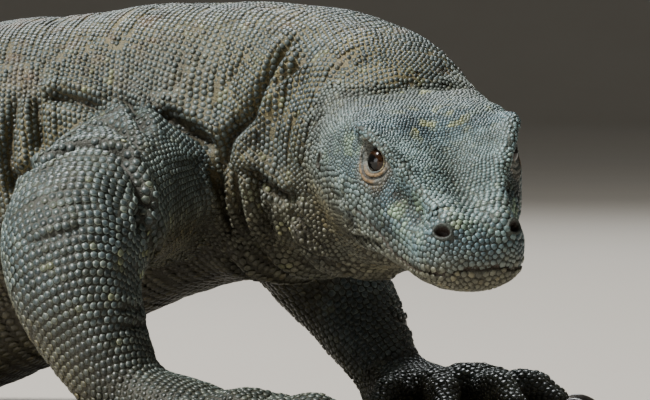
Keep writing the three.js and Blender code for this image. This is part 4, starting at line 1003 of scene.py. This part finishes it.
for dq, step in ((-1, 4.7), (1, 4.5)):
    for side in (1, -1):
        s = 1.5 if dq < 0 else 3.0
        while s < 104:
            q = 5.0
            p0 = head_local(s, 5.0)[0]
            for q in np.arange(5.0, 5 + dq * 1.6, dq * 0.04):
                if np.linalg.norm(head_local(s, q)[0] - p0) >= 2.9:
                    break
            a = q if side > 0 else 16 - q
            SEEDS.append((np.array([HEAD_ID]), np.array([s]), np.array([a]), to_world(head_local(s, a)), np.array([step]), np.array([3.9]), np.array([6])))
            s += step * (0.94 if s < 20 else 1.0)
for y in (-6.5, -2.2, 2.2, 6.5):
    for z in (4.6, -2.4):
        SEEDS.append((np.array([HEAD_ID]), np.array([0.0]), np.array([4.0 if z > 0 else 6.0]), to_world(np.array([[HEAD_LENGTH + 1.0, y, z]])), np.array([4.0]), np.array([3.9]), np.array([6])))
# tops of the cap over the tip of the snout
for r, n in ((2.0, 6), (4.6, 11)):
    for j in range(n):
        a = j * 2 * math.pi / n
        z = 4.5 + 0.8 * r * math.sin(a)
        if z > 6:
            SEEDS.append((np.array([HEAD_ID]), np.array([0.0]), np.array([1.0]), to_world(np.array([[HEAD_LENGTH + 0.8, r * 1.3 * math.cos(a), z]])), np.array([2.7]), np.array([2.6]), np.array([5])))

S = [np.concatenate(a) for a in zip(*SEEDS)]
s_rid, s_t, s_th, s_p0, s_pa, s_pb, s_kind = S
s_P, s_N, s_d = surface(s_p0)
ok = s_d < np.where(s_rid == HEAD_ID, 3.5, np.where(s_rid >= 5, 3.0, 5.0))
ok &= ~((s_rid == 0) & (s_t < 26) & (s_d > 2.5))
prio = np.array([3, 3, 2, 1, 0.5, 1.5, 0])[s_kind] + np.where(s_kind == 1, 0.1, 0)
order = np.lexsort((s_t, prio))
order = order[ok[order]]
size = np.minimum(s_pa, s_pb)
kd = tree(s_P)
state = np.zeros(len(s_P), np.int8)
for i in order:
    good = True
    for _, j, d in kd.find_range(s_P[i], size[i] * 0.98):
        if state[j] and d < 0.5 * (size[i] + size[j]) * (0.62 if s_rid[i] == s_rid[j] and s_kind[i] == s_kind[j] else 0.86):
            good = False
            break
    state[i] = good
keep = np.where(state > 0)[0]
s_rid, s_t, s_th, s_P, s_N, s_pa, s_pb, s_kind = [a[keep] for a in (s_rid, s_t, s_th, s_P, s_N, s_pa, s_pb, s_kind)]
# places still bare, on the outside of bends and between parts, get scales of their neighbours' size
cand = np.concatenate([BASE_V, BASE_V[BASE_T].mean(1)])
c_rid, c_t, c_th = [np.concatenate([a, a[BASE_T[:, 0]]]) for a in classify(BASE_V)]
kd = tree(s_P)
near_ = [kd.find(p) for p in cand]
nj, nd = np.array([q[1] for q in near_]), np.array([q[2] for q in near_])
c_size = np.minimum(s_pa, s_pb)[nj]
hole = np.where(nd > 0.80 * c_size)[0]
hole = hole[np.argsort(-(nd / c_size)[hole])]
cells, new = {}, []
for i in hole:
    key = tuple((cand[i] // 8).astype(int))
    if all(np.linalg.norm(cand[i] - cand[j]) > 0.86 * c_size[i] for dx in (-1, 0, 1) for dy in (-1, 0, 1) for dz in (-1, 0, 1) for j in cells.get((key[0] + dx, key[1] + dy, key[2] + dz), ())):
        cells.setdefault(key, []).append(i)
        new.append(i)
if new:
    new = np.array(new)
    P_, N_, _ = surface(cand[new])
    j = nj[new]
    s_rid, s_t, s_th = np.append(s_rid, c_rid[new]), np.append(s_t, c_t[new]), np.append(s_th, c_th[new])
    s_P, s_N = np.concatenate([s_P, P_]), np.concatenate([s_N, N_])
    s_pa, s_pb, s_kind = np.append(s_pa, s_pa[j]), np.append(s_pb, s_pb[j]), np.append(s_kind, s_kind[j])
print("filled", len(new))
# the way the scales lie: towards the tail and the toes
lie = np.zeros((len(s_P), 3))
for i, (name, tube) in enumerate(REGIONS):
    k = s_rid == i
    if k.any():
        lie[k] = tube.at(s_t[k])[1]
lie[s_rid == HEAD_ID] = -HEAD_F
A = unit(lie - (lie * s_N).sum(1, keepdims=True) * s_N)
B = np.cross(s_N, A)
c0, s_info = skin_points(s_P, s_N, s_rid, s_t, s_th)
cn, ca, cb = [skin_points(s_P + d, s_N, s_rid, s_t, s_th, with_lips=False)[0] for d in (0, A * 1.2, B * 1.2)]
NN = unit(np.cross(ca - cn, cb - cn))
flat_ = (NN * s_N).sum(1) < 0.25
NN[flat_] = s_N[flat_]
NN = unit(NN + 0.15 * s_N)
A = unit(A - (A * NN).sum(1, keepdims=True) * NN)
B = np.cross(NN, A)
live = (s_info["bare"] < 0.35) & (s_info["pit"] < 0.05) & ~((s_info["mouth"] > 0.55) & (s_kind == 5))
s_marks_and_shade = marks_and_shade(s_P, s_N, s_rid, s_t, s_th)
arr = dict(rid=s_rid, t=s_t, th=s_th, P=s_P, C=c0, N=NN, A=A, B=B, pa=s_pa, pb=s_pb, kind=s_kind, **{"i_" + k: v for k, v in s_info.items()}, **{"m_" + k: v for k, v in s_marks_and_shade.items()})
arr = {k: v[live] for k, v in arr.items()}
n = len(arr["t"])
print("scales", n, {int(k): int((arr["kind"] == k).sum()) for k in np.unique(arr["kind"])})

# each scale fills its own cell among its neighbours, less a gap
DIRS = 6
ang = np.arange(DIRS) * 2 * math.pi / DIRS
kd = tree(arr["C"])
NB = 11
nb = np.empty((n, NB), int)
for i, p in enumerate(arr["C"]):
    f = kd.find_n(p, NB + 1)
    j = [q[1] for q in f if q[1] != i][:NB]
    nb[i, :len(j)] = j
    nb[i, len(j):] = i
R = np.empty((n, DIRS))
cap = np.array([0.70, 0.66, 0.72, 0.66, 0.66, 0.74, 0.76])[arr["kind"]]
tail_part = (arr["rid"] == 0) & (arr["t"] > 950)
cap = np.where(tail_part, 0.64, cap)
gap = np.array([0.36, 0.30, 0.26, 0.26, 0.26, 0.20, 0.26])[arr["kind"]]
for c in range(0, n, 8000):
    sl = slice(c, min(n, c + 8000))
    v = arr["C"][nb[sl]] - arr["C"][sl][:, None]
    va, vb = np.einsum("ikj,ij->ik", v, arr["A"][sl]), np.einsum("ikj,ij->ik", v, arr["B"][sl])
    own = nb[sl] == np.arange(sl.start, sl.stop)[:, None]
    # the divide between two scales of different size lies nearer the smaller one
    si = np.minimum(arr["pa"], arr["pb"])
    share = si[sl][:, None] / (si[sl][:, None] + si[nb[sl]])
    q = va**2 + vb**2
    for j in range(DIRS):
        dot = va * math.cos(ang[j]) + vb * math.sin(ang[j])
        r = np.where((dot > 0.05) & ~own, share * q / np.maximum(dot, 0.05), 1e3)
        e = cap[sl] / np.sqrt((math.cos(ang[j]) / arr["pa"][sl])**2 + (math.sin(ang[j]) / arr["pb"][sl])**2)
        R[sl, j] = np.minimum(r.min(1) - gap[sl] / 2, e)
R = np.maximum(R, 0.25 * np.minimum(arr["pa"], arr["pb"])[:, None] * 0.7)
R = 0.84 * R + 0.08 * (np.roll(R, 1, 1) + np.roll(R, -1, 1))
rnd = RNG.uniform(0, 1, n)
rnd2 = RNG.uniform(0, 1, n)
room = coat_depth(arr["rid"], arr["t"])
tall = np.array([0.205, 0.11, 0.18, 0.18, 0.20, 0.22, 0.17])[arr["kind"]] * np.minimum(arr["pa"], arr["pb"])
tall = np.where(arr["kind"] == 5, tall * np.interp(arr["t"], [0, 40, 75, 200], [0.80, 0.80, 1.2, 1.15]), tall)
tall = np.minimum(tall * (0.85 + 0.3 * rnd2), room * 1.12)

UV_BOX = {0: (0.0, 0.0, 0.70, 1.0), HEAD_ID: (0.71, 0.70, 0.28, 0.29)}
for j, i in enumerate((1, 2, 3, 4)):
    UV_BOX[i] = (0.71 + 0.145 * (j % 2), 0.40 + 0.145 * (j // 2), 0.135, 0.135)
for j, i in enumerate(range(5, HEAD_ID)):
    UV_BOX[i] = (0.71 + 0.048 * (j % 6), 0.02 + 0.09 * (j // 6), 0.042, 0.08)
box_ = np.array([UV_BOX[i] for i in range(HEAD_ID + 1)])
lengths = np.array([t.L for _, t in REGIONS] + [205.0])
turns = np.array([2 * math.pi] * HEAD_ID + [16.0])
bu = box_[arr["rid"]]
root_uv = np.stack([bu[:, 0] + bu[:, 2] * np.clip(arr["t"] / lengths[arr["rid"]], 0, 1), bu[:, 1] + bu[:, 3] * np.mod(arr["th"] / turns[arr["rid"]], 1)], 1)

def scale_piece(name, idx):
    m_, D = len(idx), DIRS
    C, Nn, Aa, Bb = arr["C"][idx], arr["N"][idx], arr["A"][idx], arr["B"][idx]
    h, r = tall[idx], R[idx]
    ca, sa = np.cos(ang), np.sin(ang)
    flatness = np.array([0.80, 0.82, 0.84, 0.80, 0.80, 0.84, 0.86])[arr["kind"][idx]][:, None]
    def ring_(f, z):
        rr = r * f
        return C[:, None] + (rr * ca)[..., None] * Aa[:, None] + (rr * sa)[..., None] * Bb[:, None] + z[..., None] * Nn[:, None]
    sink = 0.35 + 0.05 * np.minimum(arr["pa"], arr["pb"])[idx]
    rim = ring_(1.0, -np.repeat(sink[:, None], D, 1))
    back = 0.10 * ca[None] * h[:, None]
    mid_ = ring_(flatness, 0.80 * h[:, None] + back)
    apex = C + Nn * h[:, None] + Aa * (0.12 * arr["pa"][idx])[:, None]
    V = np.concatenate([rim, mid_, apex[:, None]], 1).reshape(-1, 3)
    V[:, 2] = np.maximum(V[:, 2], 0.0)
    V = boxed(V)
    V[:, 2] = np.maximum(V[:, 2], 0.0)
    j = np.arange(D)
    k = (j + 1) % D
    T = np.concatenate([np.stack([j, k, D + k], 1), np.stack([j, D + k, D + j], 1), np.stack([D + j, D + k, np.full(D, 2 * D)], 1),
                        np.stack([np.zeros(D - 2, int), j[2:], j[1:-1]], 1)])
    T = (T[None] + (np.arange(m_) * (2 * D + 1))[:, None, None]).reshape(-1, 3)
    o = fast_mesh(name, V, T)
    me = o.data
    nv = 2 * D + 1
    put(me, "edge", np.tile(np.concatenate([np.ones(D), np.full(D, 0.6), [0.0]]), m_))
    for key, v in (("rnd", rnd), ("rnd2", rnd2), ("deep", arr["i_deep"]), ("lid", arr["i_lid"]), ("limb", ((arr["rid"] > 0) & (arr["rid"] < HEAD_ID)).astype(float)),
                   ("belly", (arr["kind"] == 1).astype(float)), ("scute", (arr["kind"] == 6).astype(float))):
        put(me, key, np.repeat(v[idx], nv))
    for key in s_marks_and_shade:
        put(me, key, np.repeat(arr["m_" + key][idx], nv))
    uv = me.uv_layers.new(name="OFBake")
    local = np.concatenate([np.stack([ca, sa], 1), 0.6 * np.stack([ca, sa], 1), [[0, 0]]]) * 0.0015
    puv = (root_uv[idx][:, None] + local[None]).reshape(-1, 2)
    uv.data.foreach_set("uv", puv[T.ravel()].astype(np.float32).ravel())
    return o

groups = {}
r_, t_ = arr["rid"], arr["t"]
bel = arr["kind"] == 1
for name, m_ in (("head", r_ == HEAD_ID), ("neck", (r_ == 0) & (t_ < 216)), ("chest", (r_ == 0) & (t_ >= 216) & (t_ < 420)), ("trunk", (r_ == 0) & (t_ >= 420) & (t_ < 720)),
                 ("hips", (r_ == 0) & (t_ >= 720) & (t_ < 1000)), ("tail_fore", (r_ == 0) & (t_ >= 1000) & (t_ < 1450)), ("tail_aft", (r_ == 0) & (t_ >= 1450)),
                 ("arms", (r_ == 1) | (r_ == 2)), ("legs", (r_ == 3) | (r_ == 4)), ("paws", (r_ > 4) & (r_ < HEAD_ID))):
    groups[name] = np.where(m_)[0]
coat = []
LIMIT = 8600
for name, idx in groups.items():
    pieces = max(1, math.ceil(len(idx) / LIMIT))
    idx = idx[np.argsort(r_[idx] * 1e4 + t_[idx], kind="stable")]
    for i, part in enumerate(np.array_split(idx, pieces)):
        if len(part):
            o = scale_piece("scales_%s_%d" % (name, i + 1), part)
            o["group"] = name
            coat.append(o)

# ---------------------------------------------------------------- eyes and claws
eyes = []
for s in spots:
    if s.kind != "eye":
        continue
    name = "eye_left" if s.side > 0 else "eye_right"
    C = to_world(np.array([[HEAD_LENGTH - EYE_AT[0], EYE_AT[1] * s.side, EYE_AT[2]]]))[0]
    look = unit([0.34, 0.93 * s.side, 0.10])
    axis = look[0] * HEAD_F + look[1] * HEAD_T + look[2] * HEAD_U
    u1 = unit(np.cross(axis, [0, 0, 1]))
    u2 = np.cross(u1, axis)
    lat = np.concatenate([np.radians([1, 4, 8, 12, 15, 17, 18.5, 20, 22, 25, 30, 36, 42, 48, 52]), np.radians(np.arange(58, 178, 8))])
    lon = np.arange(48) * 2 * math.pi / 48
    V, iris = [], []
    for a in lat:
        bulge = EYE_RADIUS + 0.45 * math.exp(-(a / 0.55)**2)
        for b in lon:
            V.append(C + bulge * (math.cos(a) * axis + math.sin(a) * (math.cos(b) * u1 + math.sin(b) * u2)))
            iris.append(a)
    F = grid_faces(len(lat), 48)
    V += [C + (EYE_RADIUS + 0.45) * axis, C - EYE_RADIUS * axis]
    iris += [0.0, math.pi]
    o = new_object(name + "_ball", np.array(V), F)
    bm = bmesh.new()
    bm.from_mesh(o.data)
    bmesh.ops.recalc_face_normals(bm, faces=bm.faces[:])
    bm.to_mesh(o.data)
    bm.free()
    for f in o.data.polygons:
        f.use_smooth = True
    put(o.data, "iris", np.degrees(iris))
    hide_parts(name)
    eyes.append(o)

claws = []
for name, (tubes, cl) in paws.items():
    for i, tube in enumerate(cl):
        ts = np.concatenate([np.linspace(0, tube.L, 22)])
        V, F = tube.mesh(ts, 18)
        o = new_object("claw_%s_%d_horn" % (name, i + 1), boxed(V), F)
        for f in o.data.polygons:
            f.use_smooth = True
        put(o.data, "along", np.concatenate([np.repeat(ts / tube.L, 18), [0, 1]]))
        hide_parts("claw_%s_%d" % (name, i + 1))
        claws.append(o)

# ---------------------------------------------------------------- materials
class Mat:
    def __init__(self, name):
        self.m = bpy.data.materials.new(name)
        self.m.use_nodes = True
        self.t = self.m.node_tree
        self.b = self.t.nodes["Principled BSDF"]
        self.co = self.t.nodes.new("ShaderNodeTexCoord").outputs["Object"]
    def set(self, **kw):
        for k, v in kw.items():
            self.b.inputs[k.replace("_", " ")].default_value = v
    def feed(self, sock, v):
        if isinstance(v, bpy.types.NodeSocket):
            self.t.links.new(v, sock)
        elif v is not None:
            if hasattr(sock, "default_value") and not isinstance(v, (int, float)):
                sock.default_value = (*v, 1.0) if len(v) == 3 and len(sock.default_value) == 4 else v
            else:
                sock.default_value = v
    def attr(self, name):
        n = self.t.nodes.new("ShaderNodeAttribute")
        n.attribute_name = name
        return n.outputs["Fac"]
    def math(self, op, a, b=None, clamp=False):
        n = self.t.nodes.new("ShaderNodeMath")
        n.operation, n.use_clamp = op, clamp
        self.feed(n.inputs[0], a)
        self.feed(n.inputs[1], b)
        return n.outputs[0]
    def noise(self, scale, detail=3, rough=0.55, kind="noise"):
        if kind == "noise":
            n = self.t.nodes.new("ShaderNodeTexNoise")
            n.inputs["Detail"].default_value, n.inputs["Roughness"].default_value = detail, rough
            out = n.outputs["Fac"]
        else:
            n = self.t.nodes.new("ShaderNodeTexVoronoi")
            n.feature = kind
            out = n.outputs["Distance"]
        n.inputs["Scale"].default_value = scale
        self.t.links.new(self.co, n.inputs["Vector"])
        return out
    def ramp(self, f, stops, smooth_=True):
        n = self.t.nodes.new("ShaderNodeMapRange")
        n.interpolation_type = "SMOOTHSTEP" if smooth_ else "LINEAR"
        self.feed(n.inputs["Value"], f)
        for k, v in zip(("From Min", "From Max", "To Min", "To Max"), stops):
            n.inputs[k].default_value = v
        return n.outputs["Result"]
    def mix(self, f, a, b, mode="MIX"):
        n = self.t.nodes.new("ShaderNodeMix")
        n.data_type, n.blend_type, n.clamp_factor = "RGBA", mode, True
        self.feed(n.inputs[0], f)
        self.feed(n.inputs[6], a)
        self.feed(n.inputs[7], b)
        return n.outputs[2]
    def bump(self, height, strength, distance, normal=None):
        n = self.t.nodes.new("ShaderNodeBump")
        n.inputs["Strength"].default_value, n.inputs["Distance"].default_value = strength, distance
        self.t.links.new(height, n.inputs["Height"])
        if normal is not None:
            self.t.links.new(normal, n.inputs["Normal"])
        return n.outputs["Normal"]

SLATE = (0.112, 0.128, 0.116)
BLUE = (0.068, 0.130, 0.165)
OLIVE = (0.165, 0.145, 0.078)
RUST = (0.21, 0.115, 0.055)
YELLOW = (0.34, 0.36, 0.17)
MINT = (0.24, 0.34, 0.24)
DARK = (0.030, 0.027, 0.013)
PALE = (0.23, 0.31, 0.28)
SKIN_TAN = (0.240, 0.205, 0.092)
SKIN_RUST = (0.240, 0.135, 0.065)
SKIN_DARK = (0.012, 0.011, 0.007)

def markings_and_shade(m):
    c = m.mix(m.attr("warm"), SLATE, OLIVE)
    c = m.mix(m.math("MULTIPLY", m.attr("cool"), 0.9), c, BLUE)
    c = m.mix(m.attr("rust"), c, RUST)
    c = m.mix(m.attr("mint"), c, MINT)
    c = m.mix(m.attr("yellow"), c, YELLOW)
    c = m.mix(m.attr("pale"), c, PALE)
    # dark marks, with painted shade on the underside, jaw, throat and paws
    return m.mix(m.attr("dark"), c, DARK)

# scales: a horny shine, each with its own tone, a painted highlight on each scale's top and a darker foot
m = Mat("scales")
c = markings_and_shade(m)
edge, rnd, rnd2 = m.attr("edge"), m.attr("rnd"), m.attr("rnd2")
bead, limb = m.attr("bead"), m.attr("limb")
c = m.mix(m.math("MULTIPLY", bead, 0.9), c, m.mix(1.0, c, (0.49, 0.54, 0.585), "MULTIPLY"))
core = m.math("MULTIPLY", m.ramp(edge, (0.66, 0.25, 0.0, 0.8)), limb)
c = m.mix(core, c, m.mix(1.0, c, (0.42, 0.48, 0.56), "MULTIPLY"))
rim = m.math("MULTIPLY", m.math("MULTIPLY", m.ramp(edge, (0.5, 0.7, 0.0, 1.0)), m.ramp(edge, (0.92, 0.82, 0.0, 1.0))), limb)
c = m.mix(rim, c, m.mix(1.0, c, (1.7, 1.7, 1.6), "MULTIPLY"))
tone = m.math("ADD", m.math("MULTIPLY", rnd, 0.62), 0.70)
tone = m.math("MULTIPLY", tone, m.ramp(m.noise(55, 4), (0.25, 0.75, 0.68, 1.34)))
tone = m.math("MULTIPLY", tone, m.ramp(m.noise(190, 3), (0.3, 0.7, 0.78, 1.25)))
tone = m.math("MULTIPLY", tone, m.ramp(m.noise(1500, 3), (0.2, 0.8, 0.82, 1.15)))
c = m.mix(1.0, c, tone, "MULTIPLY")
c = m.mix(m.ramp(rnd2, (0.78, 1.0, 0.0, 0.40)), c, m.mix(1.0, c, (1.35, 1.10, 0.72), "MULTIPLY"))
c = m.mix(m.ramp(rnd2, (0.20, 0.0, 0.0, 0.45)), c, m.mix(1.0, c, (0.62, 0.66, 0.66), "MULTIPLY"))
# painted highlight: the top of each scale made lighter, in patches
apex_highlight = m.math("MULTIPLY", m.ramp(edge, (0.55, 0.0, 0.0, 0.30)), m.ramp(m.noise(420, 3), (0.35, 0.7, 0.3, 1.0)))
c = m.mix(apex_highlight, c, m.mix(1.0, c, (1.5, 1.5, 1.4), "MULTIPLY"))
foot = m.ramp(edge, (0.72, 1.0, 0.0, 0.9))
ground = m.mix(m.ramp(m.attr("rust"), (0.1, 0.6, 0.0, 1.0)), SKIN_TAN, SKIN_RUST)
c = m.mix(foot, c, m.mix(bead, m.mix(1.0, c, (0.30, 0.30, 0.27), "MULTIPLY"), ground))
# painted shade: scales darker deep in folds
c = m.mix(m.math("MULTIPLY", m.attr("deep"), 0.65), c, m.mix(1.0, c, (0.34, 0.30, 0.20), "MULTIPLY"))
c = m.mix(m.math("MULTIPLY", m.attr("lid"), 0.75), c, m.mix(m.noise(70, 2), (0.20, 0.22, 0.20), (0.34, 0.20, 0.10)))
m.feed(m.b.inputs["Base Color"], c)
m.feed(m.b.inputs["Roughness"], m.math("SUBTRACT", m.ramp(m.noise(900, 3), (0.2, 0.8, 0.33, 0.54)), m.math("MULTIPLY", m.attr("cool"), 0.13)))
m.set(Specular_IOR_Level=0.5)
n1 = m.bump(m.noise(2600, 2), 0.22, 0.0003)
m.feed(m.b.inputs["Normal"], m.bump(m.noise(700, 3), 0.25, 0.0005, n1))
SCALES = m.m

# skin between the scales, in the folds, on the lids and in the mouth
m = Mat("skin")
ground = m.mix(m.ramp(m.attr("rust"), (0.1, 0.6, 0.0, 1.0)), SKIN_TAN, SKIN_RUST)
c = m.mix(m.ramp(m.attr("bead"), (0.0, 0.9, 0.06, 0.92), False), m.mix(1.0, markings_and_shade(m), (0.34, 0.33, 0.30), "MULTIPLY"), ground)
grain = m.noise(900, 2, kind="F1")
c = m.mix(m.ramp(grain, (0.30, 0.80, 0.0, 0.60)), c, SKIN_DARK)
# painted shade: skin darker deep in folds
c = m.mix(m.math("MULTIPLY", m.attr("deep"), 0.7), c, m.mix(1.0, c, (0.40, 0.32, 0.22), "MULTIPLY"))
lid_tone = m.mix(m.ramp(m.math("ADD", m.attr("ring"), m.math("MULTIPLY", m.noise(140, 3), 0.7)), (0.98, 1.34, 0.0, 1.0)), (0.040, 0.036, 0.028), (0.27, 0.180, 0.088))
lid_tone = m.mix(m.ramp(m.noise(70, 2), (0.42, 0.56, 0.0, 0.85)), lid_tone, (0.135, 0.160, 0.155))
lid_tone = m.mix(m.ramp(m.attr("lid"), (0.90, 0.97, 0.0, 0.85)), lid_tone, m.mix(m.ramp(m.noise(120, 1), (0.42, 0.55, 0.0, 1.0)), (0.17, 0.20, 0.20), (0.42, 0.36, 0.19)))
gran = m.noise(400, kind="F1")
cream = m.mix(m.ramp(m.noise(95, 2), (0.40, 0.58, 0.0, 1.0)), (0.150, 0.165, 0.145), (0.34, 0.29, 0.165))
lid_tone = m.mix(m.ramp(m.attr("lid"), (0.55, 0.30, 0.0, 1.0)), lid_tone, m.mix(m.ramp(gran, (0.25, 0.62, 0.0, 0.85)), cream, (0.05, 0.045, 0.03)))
lid_tone = m.mix(m.ramp(grain, (0.15, 0.75, 0.0, 0.45)), lid_tone, SKIN_DARK)
c = m.mix(m.ramp(m.attr("lid"), (0.05, 0.40, 0.0, 1.0)), c, lid_tone)
c = m.mix(m.attr("mouth"), c, (0.050, 0.024, 0.016))
# painted shade: the insides of nostrils and ear openings near black
c = m.mix(m.attr("pit"), c, (0.018, 0.010, 0.006))
m.feed(m.b.inputs["Base Color"], c)
m.feed(m.b.inputs["Roughness"], m.ramp(m.noise(500, 3), (0.2, 0.8, 0.50, 0.75)))
n1 = m.bump(grain, 0.55, 0.0006)
n1 = m.bump(m.math("MULTIPLY", m.math("SUBTRACT", 1.0, gran), m.ramp(m.attr("lid"), (0.05, 0.25, 0.0, 1.0))), 0.8, 0.0010, n1)
m.feed(m.b.inputs["Normal"], m.bump(m.noise(240, 4), 0.3, 0.0010, n1))
SKIN = m.m

m = Mat("eye")
iris = m.attr("iris")
fleck = m.noise(900, 4)
c = m.mix(m.ramp(fleck, (0.35, 0.7, 0.0, 1.0)), (0.012, 0.005, 0.002), (0.036, 0.015, 0.005))
c = m.mix(m.ramp(iris, (32.0, 30.0, 0.0, 1.0)), c, (0.003, 0.003, 0.003))
c = m.mix(m.ramp(iris, (30.0, 32.5, 0.0, 1.0)), (0.003, 0.003, 0.003), c)
c = m.mix(m.ramp(iris, (46.0, 54.0, 0.0, 1.0)), c, (0.020, 0.011, 0.006))
m.feed(m.b.inputs["Base Color"], c)
m.feed(m.b.inputs["Roughness"], m.ramp(fleck, (0.2, 0.8, 0.12, 0.20)))
m.set(Coat_Weight=0.12, Coat_Roughness=0.05, Specular_IOR_Level=0.35)
EYE = m.m

m = Mat("claw")
along = m.attr("along")
c = m.mix(m.ramp(m.noise(260, 4), (0.3, 0.7, 0.0, 1.0)), (0.012, 0.010, 0.008), (0.040, 0.032, 0.022))
c = m.mix(m.ramp(along, (0.22, 0.0, 0.0, 0.7)), c, (0.085, 0.062, 0.036))
c = m.mix(m.ramp(along, (0.86, 1.0, 0.0, 0.5)), c, (0.11, 0.095, 0.07))
m.feed(m.b.inputs["Base Color"], c)
m.feed(m.b.inputs["Roughness"], m.ramp(m.noise(800, 3), (0.2, 0.8, 0.28, 0.5)))
m.feed(m.b.inputs["Normal"], m.bump(m.noise(600, 3), 0.3, 0.0004))
CLAW = m.m

FLESH = ["head", "lower_jaw", "neck", "chest", "trunk", "pelvis", "tail_1", "tail_2", "tail_3", "tail_4", "tail_5"]
for side in ("right", "left"):
    FLESH += ["upper_arm_" + side, "forearm_" + side, "hand_" + side, "thigh_" + side, "shank_" + side, "foot_" + side]
skin.data.materials.clear()
skin.data.materials.append(SKIN)
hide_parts(*FLESH)
for o in patches:
    o.data.materials.append(SKIN)
for o in coat:
    o.data.materials.append(SCALES)
for o in eyes:
    o.data.materials.append(EYE)
for o in claws:
    o.data.materials.append(CLAW)
for o in [skin] + patches + coat + eyes + claws:
    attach(o, "root")

# ---------------------------------------------------------------- floor and light
def bowl():
    """a seamless floor that rises all round, far from the model"""
    V, F = [], []
    na = 96
    radii = [(r, 0.0) for r in (0.4, 2, 6, 12, 26, 45)] + [(45 + 12 * math.sin(a), 12 - 12 * math.cos(a)) for a in np.radians(np.arange(6, 91, 6))] + [(57, 52)]
    for r, z in radii:
        V += [(r * math.cos(a), r * math.sin(a), z) for a in np.arange(na) * 2 * math.pi / na]
    F = [(i * na + j, (i + 1) * na + j, (i + 1) * na + (j + 1) % na, i * na + (j + 1) % na) for i in range(len(radii) - 1) for j in range(na)]
    F.append(tuple(range(na)))
    o = new_object("studio_floor", np.array(V), F, mm=False)
    for f in o.data.polygons:
        f.use_smooth = True
    return o
floor = bowl()
m = Mat("studio_floor")
m.set(Base_Color=(0.46, 0.44, 0.41, 1), Roughness=0.85)
m.feed(m.b.inputs["Base Color"], m.mix(m.noise(1.2, 2), (0.46, 0.43, 0.385), (0.49, 0.46, 0.415)))
floor.data.materials.append(m.m)

AZ, EL, REACH, FOCAL = math.radians(27.0), math.radians(1.2), 2.6, 252.0
back = np.array([math.sin(AZ) * math.cos(EL), -math.cos(AZ) * math.cos(EL), math.sin(EL)])
right = np.array([math.cos(AZ), math.sin(AZ), 0.0])
up = np.cross(back, right)
at = (np.array([210.0, -230.0, 150.0]) + CENTRE) * 0.001 + back * REACH
cam = bpy.data.objects.new("camera", bpy.data.cameras.new("camera"))
bpy.context.scene.collection.objects.link(cam)
cam.matrix_world = Matrix(((right[0], up[0], back[0], at[0]), (right[1], up[1], back[1], at[1]), (right[2], up[2], back[2], at[2]), (0, 0, 0, 1)))
cam.data.sensor_width, cam.data.lens, cam.data.clip_start, cam.data.clip_end = 36.0, FOCAL, 0.05, 200.0
bpy.context.scene.camera = cam

def area(name, place, target, size, power, colour):
    li = bpy.data.lights.new(name, "AREA")
    li.shape, li.size, li.energy, li.color = "DISK", size, power, colour
    o = bpy.data.objects.new(name, li)
    bpy.context.scene.collection.objects.link(o)
    o.location = place
    o.rotation_euler = (Vector(place) - Vector(target)).to_track_quat("Z", "Y").to_euler()
    return o
area("key", (-1.1, -2.3, 4.5), (0.6, 0, 0.1), 0.85, 570, (1.0, 0.975, 0.93))
area("fill", (-1.0, -4.2, 0.9), (0.7, 0, 0.2), 2.2, 46, (0.95, 0.97, 1.0))
area("rim", (-1.5, 3.6, 3.4), (0.2, 0, 0.1), 2.0, 130, (0.95, 0.98, 1.0))
world = bpy.data.worlds.new("studio")
world.use_nodes = True
world.node_tree.nodes["Background"].inputs["Color"].default_value = (0.94, 0.94, 0.90, 1)
world.node_tree.nodes["Background"].inputs["Strength"].default_value = 0.24
bpy.context.scene.world = world

faces = sum(len(o.data.polygons) for o in [skin] + patches + coat + eyes + claws)
print("pieces", len(coat), "skin", len(skin.data.polygons), "coat", sum(len(o.data.polygons) for o in coat), "largest", max(len(o.data.polygons) for o in coat), "all", faces)
